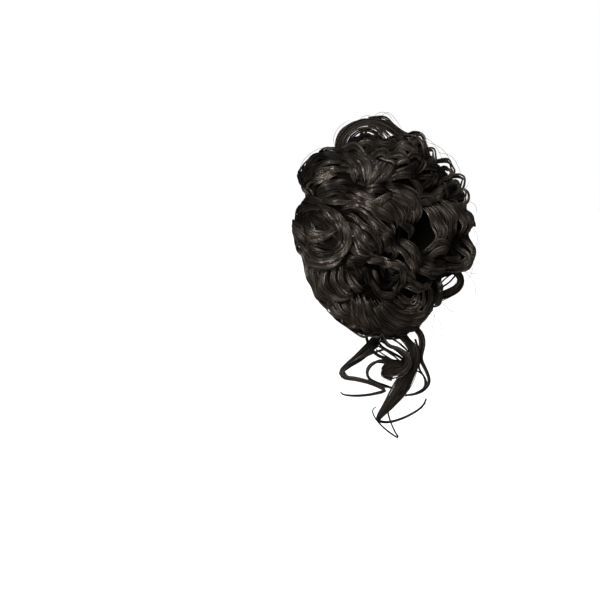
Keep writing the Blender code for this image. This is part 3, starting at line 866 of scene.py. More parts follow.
# %% Chart the locks that show
Lock = namedtuple("Lock", "width lift places")
CHART = [
    # width lift places: millimetres, then places in the picture, across and down in pixels
    # the tuft at the upper left
    Lock(6, 8, [(336, 147), (322, 151), (311, 158), (303, 167), (300, 178), (304, 186)]),
    Lock(7, 9, [(334, 152), (320, 156), (311, 163), (305, 172), (304, 184)]),
    Lock(7, 9, [(333, 157), (320, 162), (312, 170), (309, 182)]),
    Lock(6, 10, [(311, 169), (322, 166), (334, 162), (346, 156)]),
    Lock(6, 11, [(309, 177), (321, 172), (332, 170), (345, 168)]),
    Lock(6, 11, [(308, 185), (319, 180), (329, 176), (341, 171)]),
    Lock(6, 10, [(309, 192), (321, 187), (331, 183), (342, 180), (354, 181)]),
    Lock(6, 9, [(310, 199), (322, 193), (333, 190), (345, 188)]),
    Lock(6, 8, [(314, 174), (306, 181), (304, 189), (309, 199)]),
    # the fan at the top
    Lock(6, 10, [(336, 154), (350, 159), (358, 168), (361, 181)]),
    Lock(6, 12, [(341, 150), (356, 157), (364, 167), (367, 180), (365, 190)]),
    Lock(6, 12, [(350, 148), (362, 157), (369, 168), (370, 181), (367, 190)]),
    Lock(5, 9, [(349, 158), (354, 170), (356, 183)]),
    Lock(5, 11, [(388, 156), (381, 167), (374, 176), (369, 187)]),
    Lock(6, 12, [(395, 159), (388, 169), (380, 178), (370, 187)]),
    Lock(6, 11, [(401, 165), (391, 172), (382, 179), (374, 186)]),
    Lock(5, 11, [(386, 181), (398, 176), (409, 175), (421, 178)]),
    Lock(5, 11, [(394, 173), (405, 170), (413, 166), (421, 159)]),
    Lock(5, 8, [(374, 152), (375, 162), (373, 172)]),
    # the band under the fan
    Lock(6, 9, [(303, 188), (304, 194), (311, 199), (324, 202)]),
    Lock(6, 11, [(318, 197), (330, 201), (342, 202), (356, 197)]),
    Lock(6, 10, [(341, 190), (351, 195), (358, 200), (369, 203)]),
    Lock(8, 10, [(349, 188), (361, 192), (372, 196), (382, 194)]),
    Lock(6, 9, [(336, 207), (350, 203), (360, 205), (373, 211)]),
    Lock(6, 11, [(369, 206), (379, 201), (388, 196), (400, 196)]),
    Lock(6, 8, [(352, 185), (365, 188), (376, 188), (388, 190), (400, 194)]),
    Lock(5, 8, [(330, 184), (340, 186), (352, 191)]),
    # the wave left of the hole
    Lock(6, 13, [(396, 183), (408, 190), (415, 201), (417, 214), (418, 228)]),
    Lock(6, 12, [(391, 188), (404, 194), (412, 204), (413, 216), (412, 230)]),
    Lock(6, 11, [(386, 193), (398, 198), (406, 206), (408, 218), (410, 232)]),
    Lock(6, 11, [(380, 195), (392, 201), (400, 210), (402, 222), (405, 234)]),
    Lock(6, 11, [(394, 214), (403, 225), (410, 232), (414, 243)]),
    # short waves in the middle
    Lock(7, 12, [(342, 206), (356, 207), (367, 214), (376, 225), (387, 235), (393, 249)]),
    Lock(7, 11, [(352, 199), (366, 203), (377, 212), (389, 220), (396, 236)]),
    Lock(6, 11, [(341, 213), (353, 216), (362, 226), (373, 235), (380, 249), (384, 263)]),
    Lock(7, 12, [(344, 222), (355, 226), (362, 238), (373, 246), (378, 259)]),
    Lock(6, 11, [(345, 233), (355, 237), (361, 249), (371, 255), (384, 262)]),
    Lock(6, 12, [(347, 243), (356, 251), (366, 255), (379, 257)]),
    Lock(6, 10, [(362, 201), (375, 205), (385, 214), (396, 220)]),
    Lock(6, 11, [(376, 198), (387, 206), (396, 218), (402, 232)]),
    Lock(6, 10, [(368, 204), (380, 209), (390, 218), (398, 229)]),
    Lock(6, 12, [(363, 219), (374, 222), (383, 232), (394, 240), (400, 253)]),
    Lock(5, 12, [(358, 211), (369, 220), (375, 232), (386, 242)]),
    Lock(5, 12, [(352, 229), (361, 233), (368, 243), (380, 250)]),
    Lock(6, 10, [(368, 254), (379, 260), (388, 263), (399, 261)]),
    Lock(6, 9, [(388, 216), (392, 228), (389, 242)]),
    Lock(7, 9, [(374, 222), (382, 234), (389, 246), (393, 260)]),
    Lock(7, 9, [(384, 226), (391, 238), (397, 250), (400, 262)]),
    # the open curl at the left
    Lock(8, 8, [(303, 194), (297, 206), (295, 220), (296, 235), (300, 250), (306, 262)]),
    Lock(9, 8, [(306, 198), (302, 212), (301, 226), (302, 240), (306, 252), (313, 264)]),
    Lock(9, 7, [(314, 203), (308, 214), (307, 226), (309, 240), (315, 252)]),
    Lock(7, 8, [(300, 246), (303, 260), (308, 275), (315, 289)]),
    Lock(6, 12, [(322, 204), (333, 211), (341, 220), (347, 230), (348, 241), (344, 251), (334, 259),
                 (318, 263)]),
    Lock(5, 12, [(327, 213), (336, 221), (342, 231), (343, 240), (339, 248), (330, 254), (316, 256)]),
    Lock(7, 11, [(298, 246), (307, 257), (319, 263), (332, 263), (346, 254)]),
    Lock(6, 12, [(301, 243), (311, 253), (322, 258), (333, 257), (344, 248)]),
    Lock(5, 12, [(303, 238), (313, 248), (323, 253), (332, 252), (342, 244)]),
    Lock(6, 13, [(299, 229), (310, 237), (320, 238), (330, 234), (341, 226)]),
    Lock(5, 11, [(299, 223), (309, 230), (318, 234), (328, 233), (338, 226)]),
    Lock(6, 9, [(303, 208), (313, 218), (321, 224), (330, 232)]),
    Lock(6, 9, [(313, 204), (324, 214), (330, 222), (332, 233)]),
    Lock(4, 8, [(308, 243), (321, 245), (332, 246), (345, 240)]),
    # bowls at the lower left
    Lock(6, 8, [(303, 257), (305, 273), (311, 287), (320, 299), (332, 312), (347, 324)]),
    Lock(6, 9, [(306, 263), (310, 279), (318, 292), (331, 304)]),
    Lock(6, 10, [(312, 264), (315, 279), (322, 291), (333, 299), (349, 304)]),
    Lock(5, 11, [(319, 267), (321, 281), (328, 292), (338, 299), (353, 302)]),
    Lock(5, 11, [(325, 267), (326, 281), (332, 291), (341, 297), (356, 299)]),
    Lock(5, 10, [(332, 267), (333, 280), (338, 289), (346, 295), (358, 297)]),
    Lock(5, 9, [(340, 266), (341, 279), (346, 287), (357, 293)]),
    Lock(6, 11, [(346, 272), (353, 283), (359, 289), (367, 295)]),
    Lock(4, 9, [(354, 262), (360, 275), (364, 289)]),
    Lock(4, 9, [(363, 264), (367, 276), (369, 289)]),
    Lock(4, 11, [(347, 256), (354, 258), (362, 258), (371, 260)]),
    # sweeps along the lower left edge
    Lock(7, 9, [(316, 299), (331, 311), (345, 320), (357, 330), (371, 339)]),
    Lock(7, 9, [(324, 297), (340, 310), (352, 318), (362, 328), (377, 338)]),
    Lock(7, 10, [(333, 301), (346, 309), (354, 316), (362, 324), (372, 333), (385, 338)]),
    Lock(6, 11, [(351, 297), (354, 311), (361, 323), (371, 331), (386, 336)]),
    Lock(6, 12, [(358, 296), (361, 310), (367, 321), (377, 330), (391, 333)]),
    Lock(6, 12, [(364, 296), (367, 310), (373, 320), (382, 328), (396, 331)]),
    # the round curl
    Lock(4, 13, [(370, 271), (372, 286), (379, 295), (389, 297), (398, 291), (404, 278)]),
    Lock(4, 12, [(372, 276), (376, 289), (384, 294), (393, 291), (400, 280)]),
    Lock(5, 8, [(377, 268), (380, 281), (389, 287), (397, 280)]),
    Lock(5, 8, [(384, 266), (387, 277), (394, 281), (400, 274)]),
    Lock(5, 8, [(368, 268), (372, 281), (381, 290)]),
    Lock(5, 8, [(391, 265), (393, 274), (400, 279)]),
    Lock(5, 12, [(371, 264), (385, 262), (395, 266), (401, 273), (403, 282), (400, 293)]),
    Lock(5, 11, [(363, 262), (378, 261), (388, 266), (395, 277)]),
    # the wavy lock under the hole
    Lock(6, 12, [(399, 236), (408, 249), (413, 259), (417, 268), (426, 275)]),
    Lock(6, 12, [(404, 237), (413, 250), (418, 260), (426, 270)]),
    Lock(6, 12, [(395, 242), (404, 255), (409, 264), (412, 273), (420, 282)]),
    Lock(5, 11, [(398, 258), (406, 270), (412, 276), (419, 286)]),
    Lock(5, 11, [(400, 273), (411, 281), (419, 286), (431, 289)]),
    Lock(5, 10, [(416, 268), (428, 274), (439, 277)]),
    Lock(4, 10, [(400, 262), (404, 275), (403, 286), (398, 295)]),
    # the sweep at the bottom
    Lock(6, 12, [(382, 296), (389, 307), (399, 314), (410, 315), (421, 311), (430, 302), (434, 289)]),
    Lock(7, 12, [(378, 299), (386, 313), (396, 320), (409, 321), (422, 317), (432, 307), (437, 293)]),
    Lock(7, 12, [(373, 299), (379, 315), (389, 324), (402, 328), (415, 325), (426, 316), (437, 302)]),
    Lock(7, 11, [(369, 300), (374, 318), (383, 328), (395, 333), (408, 331), (422, 322)]),
    Lock(5, 11, [(387, 300), (396, 309), (406, 311), (416, 308), (424, 300), (428, 289)]),
    Lock(5, 10, [(391, 294), (400, 304), (409, 306), (417, 303), (423, 293)]),
    Lock(5, 10, [(394, 291), (405, 299), (413, 300), (422, 295)]),
    Lock(6, 9, [(386, 337), (402, 333), (413, 326), (424, 317), (433, 307), (439, 294)]),
    Lock(6, 9, [(444, 281), (441, 293), (438, 304), (430, 314)]),
    Lock(6, 9, [(397, 291), (410, 289), (420, 289), (430, 286), (438, 278)]),
    # right of the hole
    Lock(5, 11, [(426, 203), (431, 217), (435, 229), (436, 240), (432, 253)]),
    Lock(6, 12, [(430, 201), (436, 215), (440, 227), (441, 239), (437, 253)]),
    Lock(6, 12, [(435, 199), (442, 212), (446, 225), (447, 238), (442, 253)]),
    Lock(6, 11, [(441, 196), (449, 209), (453, 221), (454, 232), (451, 246)]),
    Lock(6, 11, [(446, 198), (455, 208), (461, 219), (463, 230), (460, 243)]),
    Lock(6, 10, [(449, 200), (459, 208), (466, 218), (469, 229), (466, 242)]),
    Lock(6, 12, [(425, 255), (433, 245), (440, 242), (446, 247), (450, 258)]),
    Lock(6, 11, [(427, 261), (437, 252), (443, 250), (450, 259)]),
    Lock(6, 11, [(462, 233), (469, 243), (472, 254), (468, 264), (459, 270), (446, 271)]),
    Lock(6, 11, [(459, 245), (466, 254), (464, 262), (456, 266), (443, 265)]),
    Lock(5, 11, [(445, 257), (455, 259), (463, 253)]),
    Lock(6, 10, [(416, 264), (430, 270), (441, 271), (455, 268)]),
    Lock(6, 9, [(420, 256), (433, 263), (443, 264), (455, 263)]),
    Lock(5, 9, [(413, 258), (424, 270), (434, 277), (444, 278)]),
    # tight curls at the upper right
    Lock(4, 9, [(420, 151), (430, 149), (435, 154), (436, 161), (431, 168)]),
    Lock(4, 9, [(422, 158), (431, 157), (434, 165)]),
    Lock(4, 9, [(434, 161), (445, 160), (452, 164), (455, 171), (452, 180)]),
    Lock(4, 9, [(437, 169), (446, 167), (451, 171), (450, 177), (443, 179)]),
    Lock(4, 9, [(449, 179), (458, 175), (463, 180), (464, 187), (460, 195)]),
    Lock(4, 9, [(448, 189), (455, 181), (460, 184), (460, 191), (453, 197)]),
    Lock(4, 9, [(461, 183), (468, 192), (469, 199), (464, 209)]),
    Lock(5, 10, [(448, 178), (446, 190), (450, 202)]),
    Lock(6, 9, [(428, 201), (437, 193), (443, 189), (453, 186)]),
    Lock(5, 9, [(430, 205), (440, 197), (446, 193), (457, 191)]),
    Lock(5, 9, [(420, 195), (425, 185), (430, 180), (434, 170)]),
    Lock(5, 10, [(430, 190), (434, 180), (440, 174)]),
    Lock(5, 9, [(415, 152), (423, 160), (424, 168), (419, 177)]),
    Lock(5, 10, [(405, 161), (413, 154), (420, 156), (422, 166)]),
    Lock(6, 10, [(392, 150), (404, 148), (412, 150), (419, 159)]),
    Lock(6, 9, [(380, 149), (394, 146), (405, 144), (414, 143), (424, 148)]),
    Lock(6, 9, [(382, 155), (394, 153), (403, 155), (412, 164)]),
    Lock(5, 9, [(396, 161), (406, 160), (416, 166)]),
    Lock(5, 9, [(406, 141), (416, 136), (423, 139), (426, 147), (423, 157)]),
    Lock(4, 9, [(409, 148), (417, 142), (423, 144), (424, 153)]),
    Lock(5, 9, [(414, 177), (420, 187), (420, 200)]),
    Lock(5, 10, [(416, 198), (426, 196), (433, 199), (439, 207)]),
    Lock(5, 9, [(415, 204), (427, 202), (440, 203)]),
    Lock(5, 10, [(420, 168), (432, 167), (444, 172)]),
    Lock(5, 10, [(422, 176), (433, 178), (443, 187)]),
    # under the crown
    Lock(6, 9, [(333, 152), (345, 146), (356, 146), (369, 152)]),
    Lock(6, 9, [(346, 148), (359, 143), (371, 144), (384, 151)]),
    Lock(6, 9, [(362, 150), (375, 144), (388, 143), (402, 147)]),
    Lock(6, 8, [(368, 153), (382, 151), (396, 155)]),
]
print(len(CHART), "locks drawn by eye")

# %% Drape the locks over the near side
CHART_STEP = 2.5


def smooth_curve(points, step):
    """Points about a step apart along the smooth curve through points."""
    ends = np.vstack([points[0] * 2 - points[1], points, points[-1] * 2 - points[-2]])
    curve = []
    for before, start, end, after in zip(ends, ends[1:], ends[2:], ends[3:]):
        t = np.linspace(0, 1, max(1, round(np.linalg.norm(end - start) / step)), endpoint=False)[:, None]
        bow = (end - before) * t
        bow = bow + (before * 2 - start * 5 + end * 4 - after) * t**2
        bow = bow + (start * 3 - before - end * 3 + after) * t**3
        curve.append(start + bow / 2)
    return np.vstack([*curve, points[-1:]])


def evenly(curve, count):
    """count points evenly along curve."""
    travelled = np.concatenate([[0], np.cumsum(np.linalg.norm(np.diff(curve[:, :3], axis=0), axis=1))])
    there = np.linspace(0, travelled[-1], count)
    return np.stack([np.interp(there, travelled, column) for column in curve.T], -1)


def drape(locks):
    """Paths for locks drawn flat, laid over the near side."""
    flat = [evenly(smooth_curve(np.array(lock.places, float), CHART_STEP), PATH_SAMPLES) for lock in locks]
    flat = np.stack(flat)
    centre = on_near_side(flat)
    across, down = centre @ ACROSS, centre @ DOWN
    out = TOWARD - ACROSS * look_up(slope_across, across, down)[..., None]
    out = unit(out - DOWN * look_up(slope_down, across, down)[..., None])
    first, last = flat[:, 1] - flat[:, 0], flat[:, -1] - flat[:, -2]
    turn = last[:, 0] * first[:, 1] - last[:, 1] * first[:, 0]
    curls = [Curl(0, 0, 0, bend, 0, 0, lock.width, lock.lift) for lock, bend in zip(locks, turn)]
    return paths_of(curls, centre, out, CURL_HEIGHT)


def as_laid(lines):
    return lines


for number, letter in enumerate("ab"):
    knot_hair += comb(
        f"shown_hair_{letter}",
        drape(CHART[number::2]),
        per_mm=3,
        steps=19,
        thickness=0.48,
        seed=SEED + 15 + number,
        steepness=0.4,
        shape=as_laid,
        wisp_width=1.7,
    )

# %% [markdown]
# ## A dark core
# Under the curls the hair is packed so tight that no light comes through. A plain closed roll
# just under the strands stands for it, with shallow ridges where hair is wound over it, and its
# near-black tone is the hair's own black deepened as painted shade. It stands a little higher
# along the edge that the camera sees, where daylight would show between strands.

# %% Wind the core
CORE_ROUND, CORE_TUBE = 240, 40
CORE_HEIGHT = 3.5 * MM
CORE_EDGE_HEIGHT = 7 * MM
CORE_EDGE_WIDTH = 0.2
# The core's near-black tone is painted shade for the packed hair under the curls.
CORE_TONE, CORE_TONE_CHANGE = 0.03, 0.02
RIDGE_DEPTH = 0.7 * MM
RIDGES, RIDGE_SWAY = 75, 3
BREAKS, BREAK_SWAY = 17, 4


def ring_angles(around, over):
    """The angles round a ring and round its roll, on a grid."""
    turns = [np.linspace(0, 2 * np.pi, count, endpoint=False) for count in (around, over)]
    return np.meshgrid(*turns, indexing="ij")


def ring_mesh(name, points, uv, finish):
    """A closed ring whose points lie on such a grid."""
    around, over = points.shape[:2]
    i, k = np.indices((around, over))
    next_i, next_k = (i + 1) % around, (k + 1) % over
    corners = [i * over + k, i * over + next_k, next_i * over + next_k, next_i * over + k]
    loops = np.stack(corners, -1).reshape(-1)
    starts = np.arange(0, len(loops), 4)
    counts[name] = len(loops) // 2
    print(name, counts[name], "triangles")
    return link_mesh(name, points.reshape(-1, 3), loops, starts, uv.reshape(-1, 2), finish)


def core_mesh(name):
    theta, phi = ring_angles(CORE_ROUND, CORE_TUBE)
    ridge = np.sin(RIDGES * theta + RIDGE_SWAY * np.sin(phi))
    ridge = ridge * np.sin(BREAKS * theta - BREAK_SWAY * np.cos(phi)) * RIDGE_DEPTH
    at_edge = 1 - np.clip(np.abs(knot_point(theta, phi, 0)[1] @ TOWARD) / CORE_EDGE_WIDTH, 0, 1)
    height = ridge + CORE_HEIGHT + (CORE_EDGE_HEIGHT - CORE_HEIGHT) * at_edge
    tone = CORE_TONE + CORE_TONE_CHANGE * np.sin(RIDGES * theta)
    uv = np.stack([tone, phi / (2 * np.pi)], -1)
    made = ring_mesh(name, settled(knot_point(theta, phi, height)[0]), uv, hair_finish)
    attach(made, "root")
    return made


knot_core = core_mesh("knot_core")
for piece in (knot_core, *knot_hair):
    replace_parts(piece, "curl_mass")

# %% [markdown]
# ## Loose locks
# One lock arches over the crown with light under it, another stands off the lower right edge,
# and seven hang below. Each follows a smooth curve through a few bends, and the same bends made
# the solids. Here the oval of each lock is filled with strands that turn slowly round each other.

# %% Lay out the loose locks
LOOSE_LOCKS = {
    # across, down and towards the camera from the elastic, then how wide, all in millimetres
    "crown_loop": [
        (-37, -56, 2, 4.6), (-35.4, -70, 3, 4.6), (-28.4, -81.6, 4, 5), (-17.4, -88.6, 4, 5.6),
        (-4.6, -88.8, 4, 6), (6.2, -84.4, 3, 6.6), (15, -76, 2, 6.4), (22, -65.6, 1, 5.4),
    ],
    "side_loop": [
        (40, 28, -17, 4), (50, 28.5, -17, 3.4), (60, 30, -17, 3.4), (65, 36, -17, 3.6),
        (61.5, 43, -16, 4), (50, 49, -15, 4.4), (38, 53, -14, 4.4),
    ],
    "tendril_main": [
        (12, 73, 2, 4), (21, 85, 4, 4), (26.4, 91, 5, 4.6), (27, 97.5, 5, 6.5), (24, 106.4, 4, 10),
        (16.8, 121, 3, 13), (7.2, 135, 3, 9.5), (-1.4, 146.4, 2, 5), (-1.6, 151, -2.5, 3),
        (6, 152.4, -5, 2.6), (16, 149.8, -5, 2.4), (26, 144.6, -3, 2.2), (33.2, 138.6, 0, 2),
        (36, 132.4, 2, 1.6),
    ],
    "tendril_outer": [
        (24, 66, -6, 4), (27.5, 75.5, -6, 5), (32, 81.6, -6, 5.6), (33.4, 89, -6, 6), (31.8, 97, -5, 5),
        (32.4, 102.4, -4, 3.4), (37.6, 113.5, -3, 3.2), (38.6, 120.4, -4, 3), (34.4, 126.4, -5.5, 2.6),
        (27.4, 129.6, -6, 2.4), (20, 130.8, -6, 2),
    ],
    "tendril_hook": [
        (-3, 74, 7, 3.4), (3.8, 87.6, 9, 3.2), (13.6, 91.6, 10, 3.4), (20, 97, 11, 4.6),
        (20.8, 102.4, 11.5, 6.4), (17, 107.6, 11.5, 8), (10.4, 110.6, 11, 9), (4, 111.4, 10.5, 8),
        (-0.6, 110.4, 10, 5.4),
    ],
    "tendril_strand": [
        (-7, 76, -2, 2.6), (-1.5, 89, -2.5, 2.4), (7, 95, -2.5, 2.4), (15.6, 100, -2.5, 2.4),
        (20.8, 105.4, -2.5, 2.6), (21.6, 112.4, -2.8, 2.4), (17.6, 120, -3, 2),
    ],
    "tendril_loop": [
        (-14, 76, 3, 2.8), (-10.5, 89, 3.6, 2.6), (-3.6, 96.8, 4, 2.6), (5, 100, 4, 2.6),
        (11.6, 102.6, 3.6, 2.6), (11, 104.6, 0.4, 2.6), (4.8, 103.8, -0.6, 2.6), (-4.6, 103, -1, 2.8),
        (-10, 106.4, -1, 3), (-11.6, 111.4, -1.4, 3.2), (-9.6, 116.8, -2, 3), (-3, 120.4, -3, 2.8),
        (3.2, 122.6, -4, 2.6), (9.6, 125, -5, 2),
    ],
    "tendril_long": [
        (2, 72, -9, 6), (-4, 86, -9, 8), (-15.6, 97.4, -6, 8), (-26.4, 105.2, -2, 5.6),
        (-32.4, 111, 1, 4.2), (-29.6, 115, 2, 4), (-20.4, 116.4, 2.6, 3.8), (-10.6, 118.8, 3, 3.6),
        (-1.4, 122.6, 3, 3.4), (2.8, 125.6, 2.4, 3), (-1.6, 127.6, 1, 2.8), (-11, 129.6, 0, 2.4),
        (-21, 130.4, -1, 2.2), (-30, 129.6, -1, 1.8), (-33, 127.4, -1, 1.4),
    ],
    "tendril_tip": [
        (5.8, 137, 3, 1.6), (5.2, 144, 3, 1.6), (7.8, 152.4, 3, 1.6), (11.4, 160, 3.4, 1.6),
        (14, 164, 4.2, 1.6), (7.6, 160, 5.4, 1.6), (-0.2, 153.4, 6.4, 1.6), (-5.6, 146.8, 6.8, 1.6),
        (-7.4, 141, 6.4, 1.5), (-4.4, 138.6, 5.6, 1.3),
    ],
}
print("loose locks:", list(LOOSE_LOCKS))

# %% Fill the loose locks with strands
LOCK_DEPTH_SHARE = 0.42
LOCK_ROUND_WIDTH = 2.2
LOCK_THICKNESS = 0.55
RIM_SHARE = 0.45
THINNEST_BODY = 3.5
BODY_SHARE = 0.8
BODY_SIDES = 10
BODY_TONE = 0.12
BODY_SPREAD = 0.1
FINE_STEP = 1.0
RING_STEP = 2.6
FEWEST_RINGS = 12
FEWEST_IN_LOCK = 5
STRAND_TURN = 0.5
STRAND_DRIFT = 0.1
TONE_CHANGE = 0.16
LOCK_THICKNESS_CHANGE = (0.8, 1.15)
LOCK_PER_MM, WISP_PER_MM = 7, 5
# Loose locks get lower tones than the knot, and the hook the lowest: painted shade that keeps the hanging
# tendrils near black.
USUAL_TONE = 0.17
LOCK_TONE = {"crown_loop": 0.22, "tendril_hook": 0.1}


def loose_lock(name, bends, seed, node, per_mm, tone):
    """The strands of one loose lock, in place of the solid called node."""
    draw = np.random.default_rng(seed)
    curve = smooth_curve(np.array(bends, float), FINE_STEP)
    length = np.linalg.norm(np.diff(curve[:, :3], axis=0), axis=1).sum()
    steps = max(FEWEST_RINGS, round(length / RING_STEP))
    t = np.linspace(0, 1, steps)
    rows = evenly(curve, steps)
    centre = (rows[:, :1] * ACROSS + rows[:, 1:2] * DOWN + rows[:, 2:3] * TOWARD) * MM
    ahead = unit(np.gradient(centre, axis=0))
    facing = np.empty_like(centre)
    face = TOWARD
    for i in range(steps):
        face = unit(face - ahead[i] * (face @ ahead[i]))
        facing[i] = face
    side = np.cross(ahead, facing)
    half_width = rows[:, 3] / 2
    half_depth = np.maximum(half_width * LOCK_DEPTH_SHARE, np.minimum(half_width, LOCK_ROUND_WIDTH / 2))
    many = round(FEWEST_IN_LOCK + per_mm * rows[:, 3].max())
    inside = np.where(draw.random(many) < RIM_SHARE, 1, np.sqrt(draw.random(many)))[:, None]
    reach = inside * (1 - LOCK_THICKNESS / 2 / half_width)
    turn = draw.uniform(0, 2 * np.pi, many)[:, None] + draw.normal(0, STRAND_TURN, many)[:, None] * t
    drift = t * draw.uniform(1, 3, many)[:, None] + draw.random(many)[:, None]
    drift = STRAND_DRIFT * np.sin(2 * np.pi * drift)
    across = (reach * np.cos(turn) + drift)[..., None] * half_width[:, None] * MM
    deep = (reach * np.sin(turn))[..., None] * half_depth[:, None] * MM
    lines = centre + side * across + facing * deep
    ups = np.broadcast_to(facing, lines.shape)
    tones = np.clip(draw.normal(tone, TONE_CHANGE, many), 0.01, 0.99)
    thick = LOCK_THICKNESS * MM * draw.uniform(*LOCK_THICKNESS_CHANGE, many)
    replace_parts(tube_mesh(name, lines, ups, thick, thick, tones), node)
    if rows[:, 3].max() < THINNEST_BODY:
        return
    widths = rows[None, :, 3] * MM * BODY_SHARE
    depths = 2 * half_depth[None] * MM * BODY_SHARE
    tones = np.array([BODY_TONE])
    body = tube_mesh(
        name + "_body", centre[None], facing[None], widths, depths, tones, BODY_SIDES, BODY_SPREAD
    )
    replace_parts(body, node)


for number, (name, bends) in enumerate(LOOSE_LOCKS.items()):
    tone = LOCK_TONE.get(name, USUAL_TONE)
    loose_lock(name + "_hair", bends, SEED + 100 + number, name, LOCK_PER_MM, tone)

# %% [markdown]
# ## Wisps and stray hairs
# Hair never stays in clean locks. Thin wisps leave each of them and cross its neighbours, and
# single hairs stand off the outline. Both are drawn in the picture, and a number says how
# near the camera a wisp lies.

# %% Add thin wisps
Wisp = namedtuple("Wisp", "node toward width places")
# The wisps of the hook and the main tendril get still lower tones: painted shade.
WISP_TONE = {"tendril_hook": 0.06, "tendril_main": 0.08}
WISPS = [
    # node, millimetres towards the camera and wide, then places in the picture in pixels
    Wisp("crown_loop", 1, 4, [(337, 156), (337, 143), (342, 132), (352, 125), (365, 121)]),
    Wisp("crown_loop", 2, 4,
         [(338, 156), (340, 140), (347, 130), (359, 123), (373, 121), (387, 126), (399, 136)]),
    Wisp("crown_loop", 4, 3.4,
         [(342, 155), (345, 140), (353, 131), (365, 127), (378, 129), (389, 138), (394, 148)]),
    Wisp("crown_loop", 5, 3, [(346, 154), (350, 140), (359, 132), (369, 131), (379, 137), (384, 148)]),
    Wisp("crown_loop", 6, 3, [(350, 153), (356, 141), (364, 135), (372, 138), (376, 149)]),
    Wisp("crown_loop", 5, 2.2, [(357, 152), (359, 138), (366, 129), (376, 130), (385, 141), (387, 150)]),
    Wisp("crown_loop", 3, 2, [(366, 150), (364, 138), (368, 128), (377, 122)]),
    Wisp("crown_loop", 3, 2, [(372, 150), (373, 139), (380, 130), (388, 125)]),
    Wisp("crown_loop", 2, 3.6, [(376, 121), (388, 124), (398, 131), (407, 138), (414, 145)]),
    Wisp("crown_loop", 0, 3,
         [(368, 119), (384, 118), (393, 126), (404, 134), (415, 137), (422, 144), (423, 153)]),
    Wisp("crown_loop", 3, 3, [(382, 127), (393, 134), (402, 141), (406, 151)]),
    Wisp("crown_loop", 3, 4.6, [(342, 151), (351, 142), (363, 138), (377, 139), (390, 147)]),
    Wisp("crown_loop", 1, 3, [(402, 139), (413, 133), (422, 136), (425, 145)]),
    Wisp("side_loop", -16, 4, [(432, 297), (446, 296), (457, 290), (462, 281)]),
    Wisp("side_loop", -17, 4.4,
         [(430, 272), (446, 270), (458, 272), (464, 280), (462, 289), (453, 296), (438, 302), (430, 301)]),
    Wisp("side_loop", -15, 2.4,
         [(430, 276), (450, 273), (459, 277), (460, 285), (451, 292), (438, 295), (430, 296)]),
    Wisp("side_loop", -16, 1.6, [(459, 275), (452, 283), (443, 289), (432, 292)]),
    Wisp("side_loop", -15, 1.4, [(455, 274), (446, 281), (439, 288), (430, 291)]),
    Wisp("curl_mass", -22, 2.4, [(458, 206), (467, 210), (475, 216), (476, 224), (471, 231), (460, 236)]),
    Wisp("curl_mass", -20, 1.8, [(458, 210), (467, 213), (473, 219), (472, 227), (462, 233)]),
    Wisp("tendril_hook", 8, 1.8, [(383, 334), (395, 340), (405, 348), (412, 357)]),
    Wisp("tendril_hook", 7, 1.8, [(381, 341), (392, 347), (402, 355), (409, 363)]),
    Wisp("tendril_hook", 6, 1.6, [(379, 346), (390, 353), (399, 360), (406, 367)]),
    Wisp("tendril_hook", 6, 1.4, [(376, 349), (388, 357), (398, 363), (405, 370)]),
    Wisp("tendril_main", 5, 5, [(400, 334), (409, 345), (414, 357), (414, 368), (409, 378)]),
    Wisp("tendril_main", 4, 5, [(412, 342), (413, 354), (409, 366), (401, 377), (396, 388)]),
    Wisp("tendril_outer", -4, 2,
         [(416, 340), (421, 356), (420, 369), (426, 380), (425, 390), (412, 397)]),
    Wisp("tendril_outer", -4, 1.6, [(413, 370), (423, 375), (428, 385), (421, 393), (406, 398)]),
    Wisp("tendril_loop", 0, 2.4,
         [(390, 361), (378, 362), (370, 368), (368, 376), (374, 383), (388, 388)]),
    Wisp("tendril_hook", 10, 10, [(403, 366), (394, 365), (388, 368), (387, 373), (393, 375)]),
    Wisp("tendril_long", -2, 2.4, [(379, 346), (364, 356), (350, 365), (343, 371), (348, 378)]),
    Wisp("tendril_long", 0, 2, [(384, 350), (372, 354), (358, 360), (347, 366)]),
    Wisp("curl_mass", -22, 2.4, [(460, 232), (471, 240), (477, 249), (475, 258), (467, 266), (458, 270)]),
]


def wisp(number, node, toward, width, places):
    bends = [(across / MM, down / MM, toward, width) for across, down in flat_places(places)]
    tone = WISP_TONE.get(node, USUAL_TONE)
    loose_lock(f"wisp_{number:02d}", bends, SEED + 200 + number, node, WISP_PER_MM, tone)


for number, row in enumerate(WISPS):
    wisp(number, *row)

# %% Let a few hairs stray
STRAY_THICKNESS = 0.3 * MM
STRAY_STEPS = 28
STRAY_SLANT = 0.45
STRAY_TONE = 0.1
STRAYS = [
    # places in the picture of single hairs, across and down in pixels
    [(458, 198), (468, 190), (474, 181)],
    [(462, 206), (472, 202), (480, 206), (482, 216)],
    [(466, 226), (476, 228), (483, 238), (480, 252), (484, 262)],
    [(470, 252), (478, 262), (476, 276), (467, 290)],
    [(460, 268), (474, 278), (481, 292), (478, 308)],
    [(436, 292), (448, 308), (460, 316), (472, 318)],
    [(430, 304), (437, 317), (435, 330), (440, 342)],
    [(424, 312), (439, 320), (446, 332), (444, 346)],
    [(452, 262), (466, 272), (482, 276), (491, 268)],
    [(420, 136), (431, 140), (440, 150), (446, 162)],
    [(428, 142), (440, 146), (449, 154), (457, 168)],
    [(440, 152), (454, 156), (462, 168), (466, 182)],
    [(372, 118), (380, 113), (388, 115), (394, 122)],
    [(380, 118), (387, 113), (394, 118), (402, 129)],
    [(356, 124), (364, 117), (374, 117)],
    [(336, 152), (333, 140), (338, 129), (349, 121)],
    [(326, 148), (314, 152), (303, 162), (298, 175)],
    [(424, 399), (428, 404), (427, 412), (420, 417)],
    [(386, 396), (378, 400), (372, 408), (374, 416)],
]


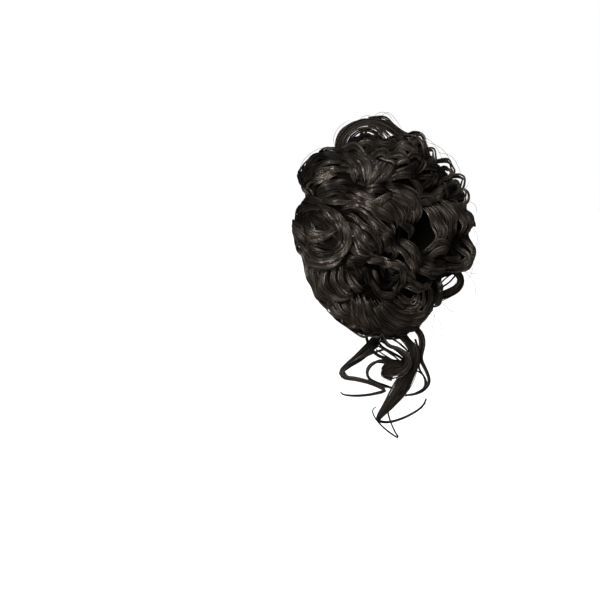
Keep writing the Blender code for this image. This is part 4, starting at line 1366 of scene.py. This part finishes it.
def stray_lines(hairs):
    """Centre lines of single hairs, nearer the camera on the left than on the right."""
    flat = np.stack([evenly(smooth_curve(flat_places(hair), MM), STRAY_STEPS) for hair in hairs])
    return (ACROSS - TOWARD * STRAY_SLANT) * flat[..., :1] + DOWN * flat[..., 1:]


stray_hairs = stray_lines(STRAYS)
thin, tones = (np.full(len(STRAYS), value) for value in (STRAY_THICKNESS, STRAY_TONE))
toward = np.broadcast_to(TOWARD, stray_hairs.shape)
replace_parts(tube_mesh("stray_hairs", stray_hairs, toward, thin, thin, tones), "curl_mass")

# %% [markdown]
# ## The elastic
# The ring is rubber with thread wound round it. A turned ring with fine slanted ribs shows the
# thread, and the shader adds a dull, slightly fuzzy black.

# %% Cover the elastic
ELASTIC_THICKNESS = 5.4 * MM
ELASTIC_RADIUS = HOLE_RADIUS - 0.3 * MM - ELASTIC_THICKNESS / 2
THREADS = 150
THREAD_SLANT = 2
THREAD_HEIGHT = 0.12 * MM
ELASTIC_ROUND, ELASTIC_TUBE = 900, 12
THREAD_GRAIN = 900
THREAD_DARK = (0.008, 0.008, 0.008, 1)
THREAD_PALE = (0.035, 0.034, 0.033, 1)
THREAD_ROUGHNESS = 0.85


def elastic_material(name):
    made, nodes, links, shader = new_material(name)
    grain = nodes.new("ShaderNodeTexNoise")
    grain.inputs["Scale"].default_value = THREAD_GRAIN
    where = nodes.new("ShaderNodeTexCoord")
    links.new(where.outputs["Object"], grain.inputs["Vector"])
    ramp = nodes.new("ShaderNodeValToRGB")
    ramp.color_ramp.elements[0].color = THREAD_DARK
    ramp.color_ramp.elements[1].color = THREAD_PALE
    links.new(grain.outputs["Fac"], ramp.inputs["Fac"])
    links.new(ramp.outputs["Color"], shader.inputs["Base Color"])
    shader.inputs["Roughness"].default_value = THREAD_ROUGHNESS
    return made


def elastic_cover(name):
    theta, phi = ring_angles(ELASTIC_ROUND, ELASTIC_TUBE)
    rib = THREAD_HEIGHT * (np.abs(np.sin(THREADS / 2 * theta + THREAD_SLANT * phi)) - 1)
    tube = ELASTIC_THICKNESS / 2 + rib
    radial = ELASTIC_RADIUS + tube * np.cos(phi)
    points = np.stack([radial * np.cos(theta), -tube * np.sin(phi), radial * np.sin(theta)], -1)
    uv = np.stack([theta, phi], -1) / (2 * np.pi)
    made = ring_mesh(name, points, uv, elastic_material("thread"))
    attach(made, "root")
    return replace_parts(made, "elastic_band")


elastic_cover("elastic_thread")
print("triangles in all:", sum(counts.values()))
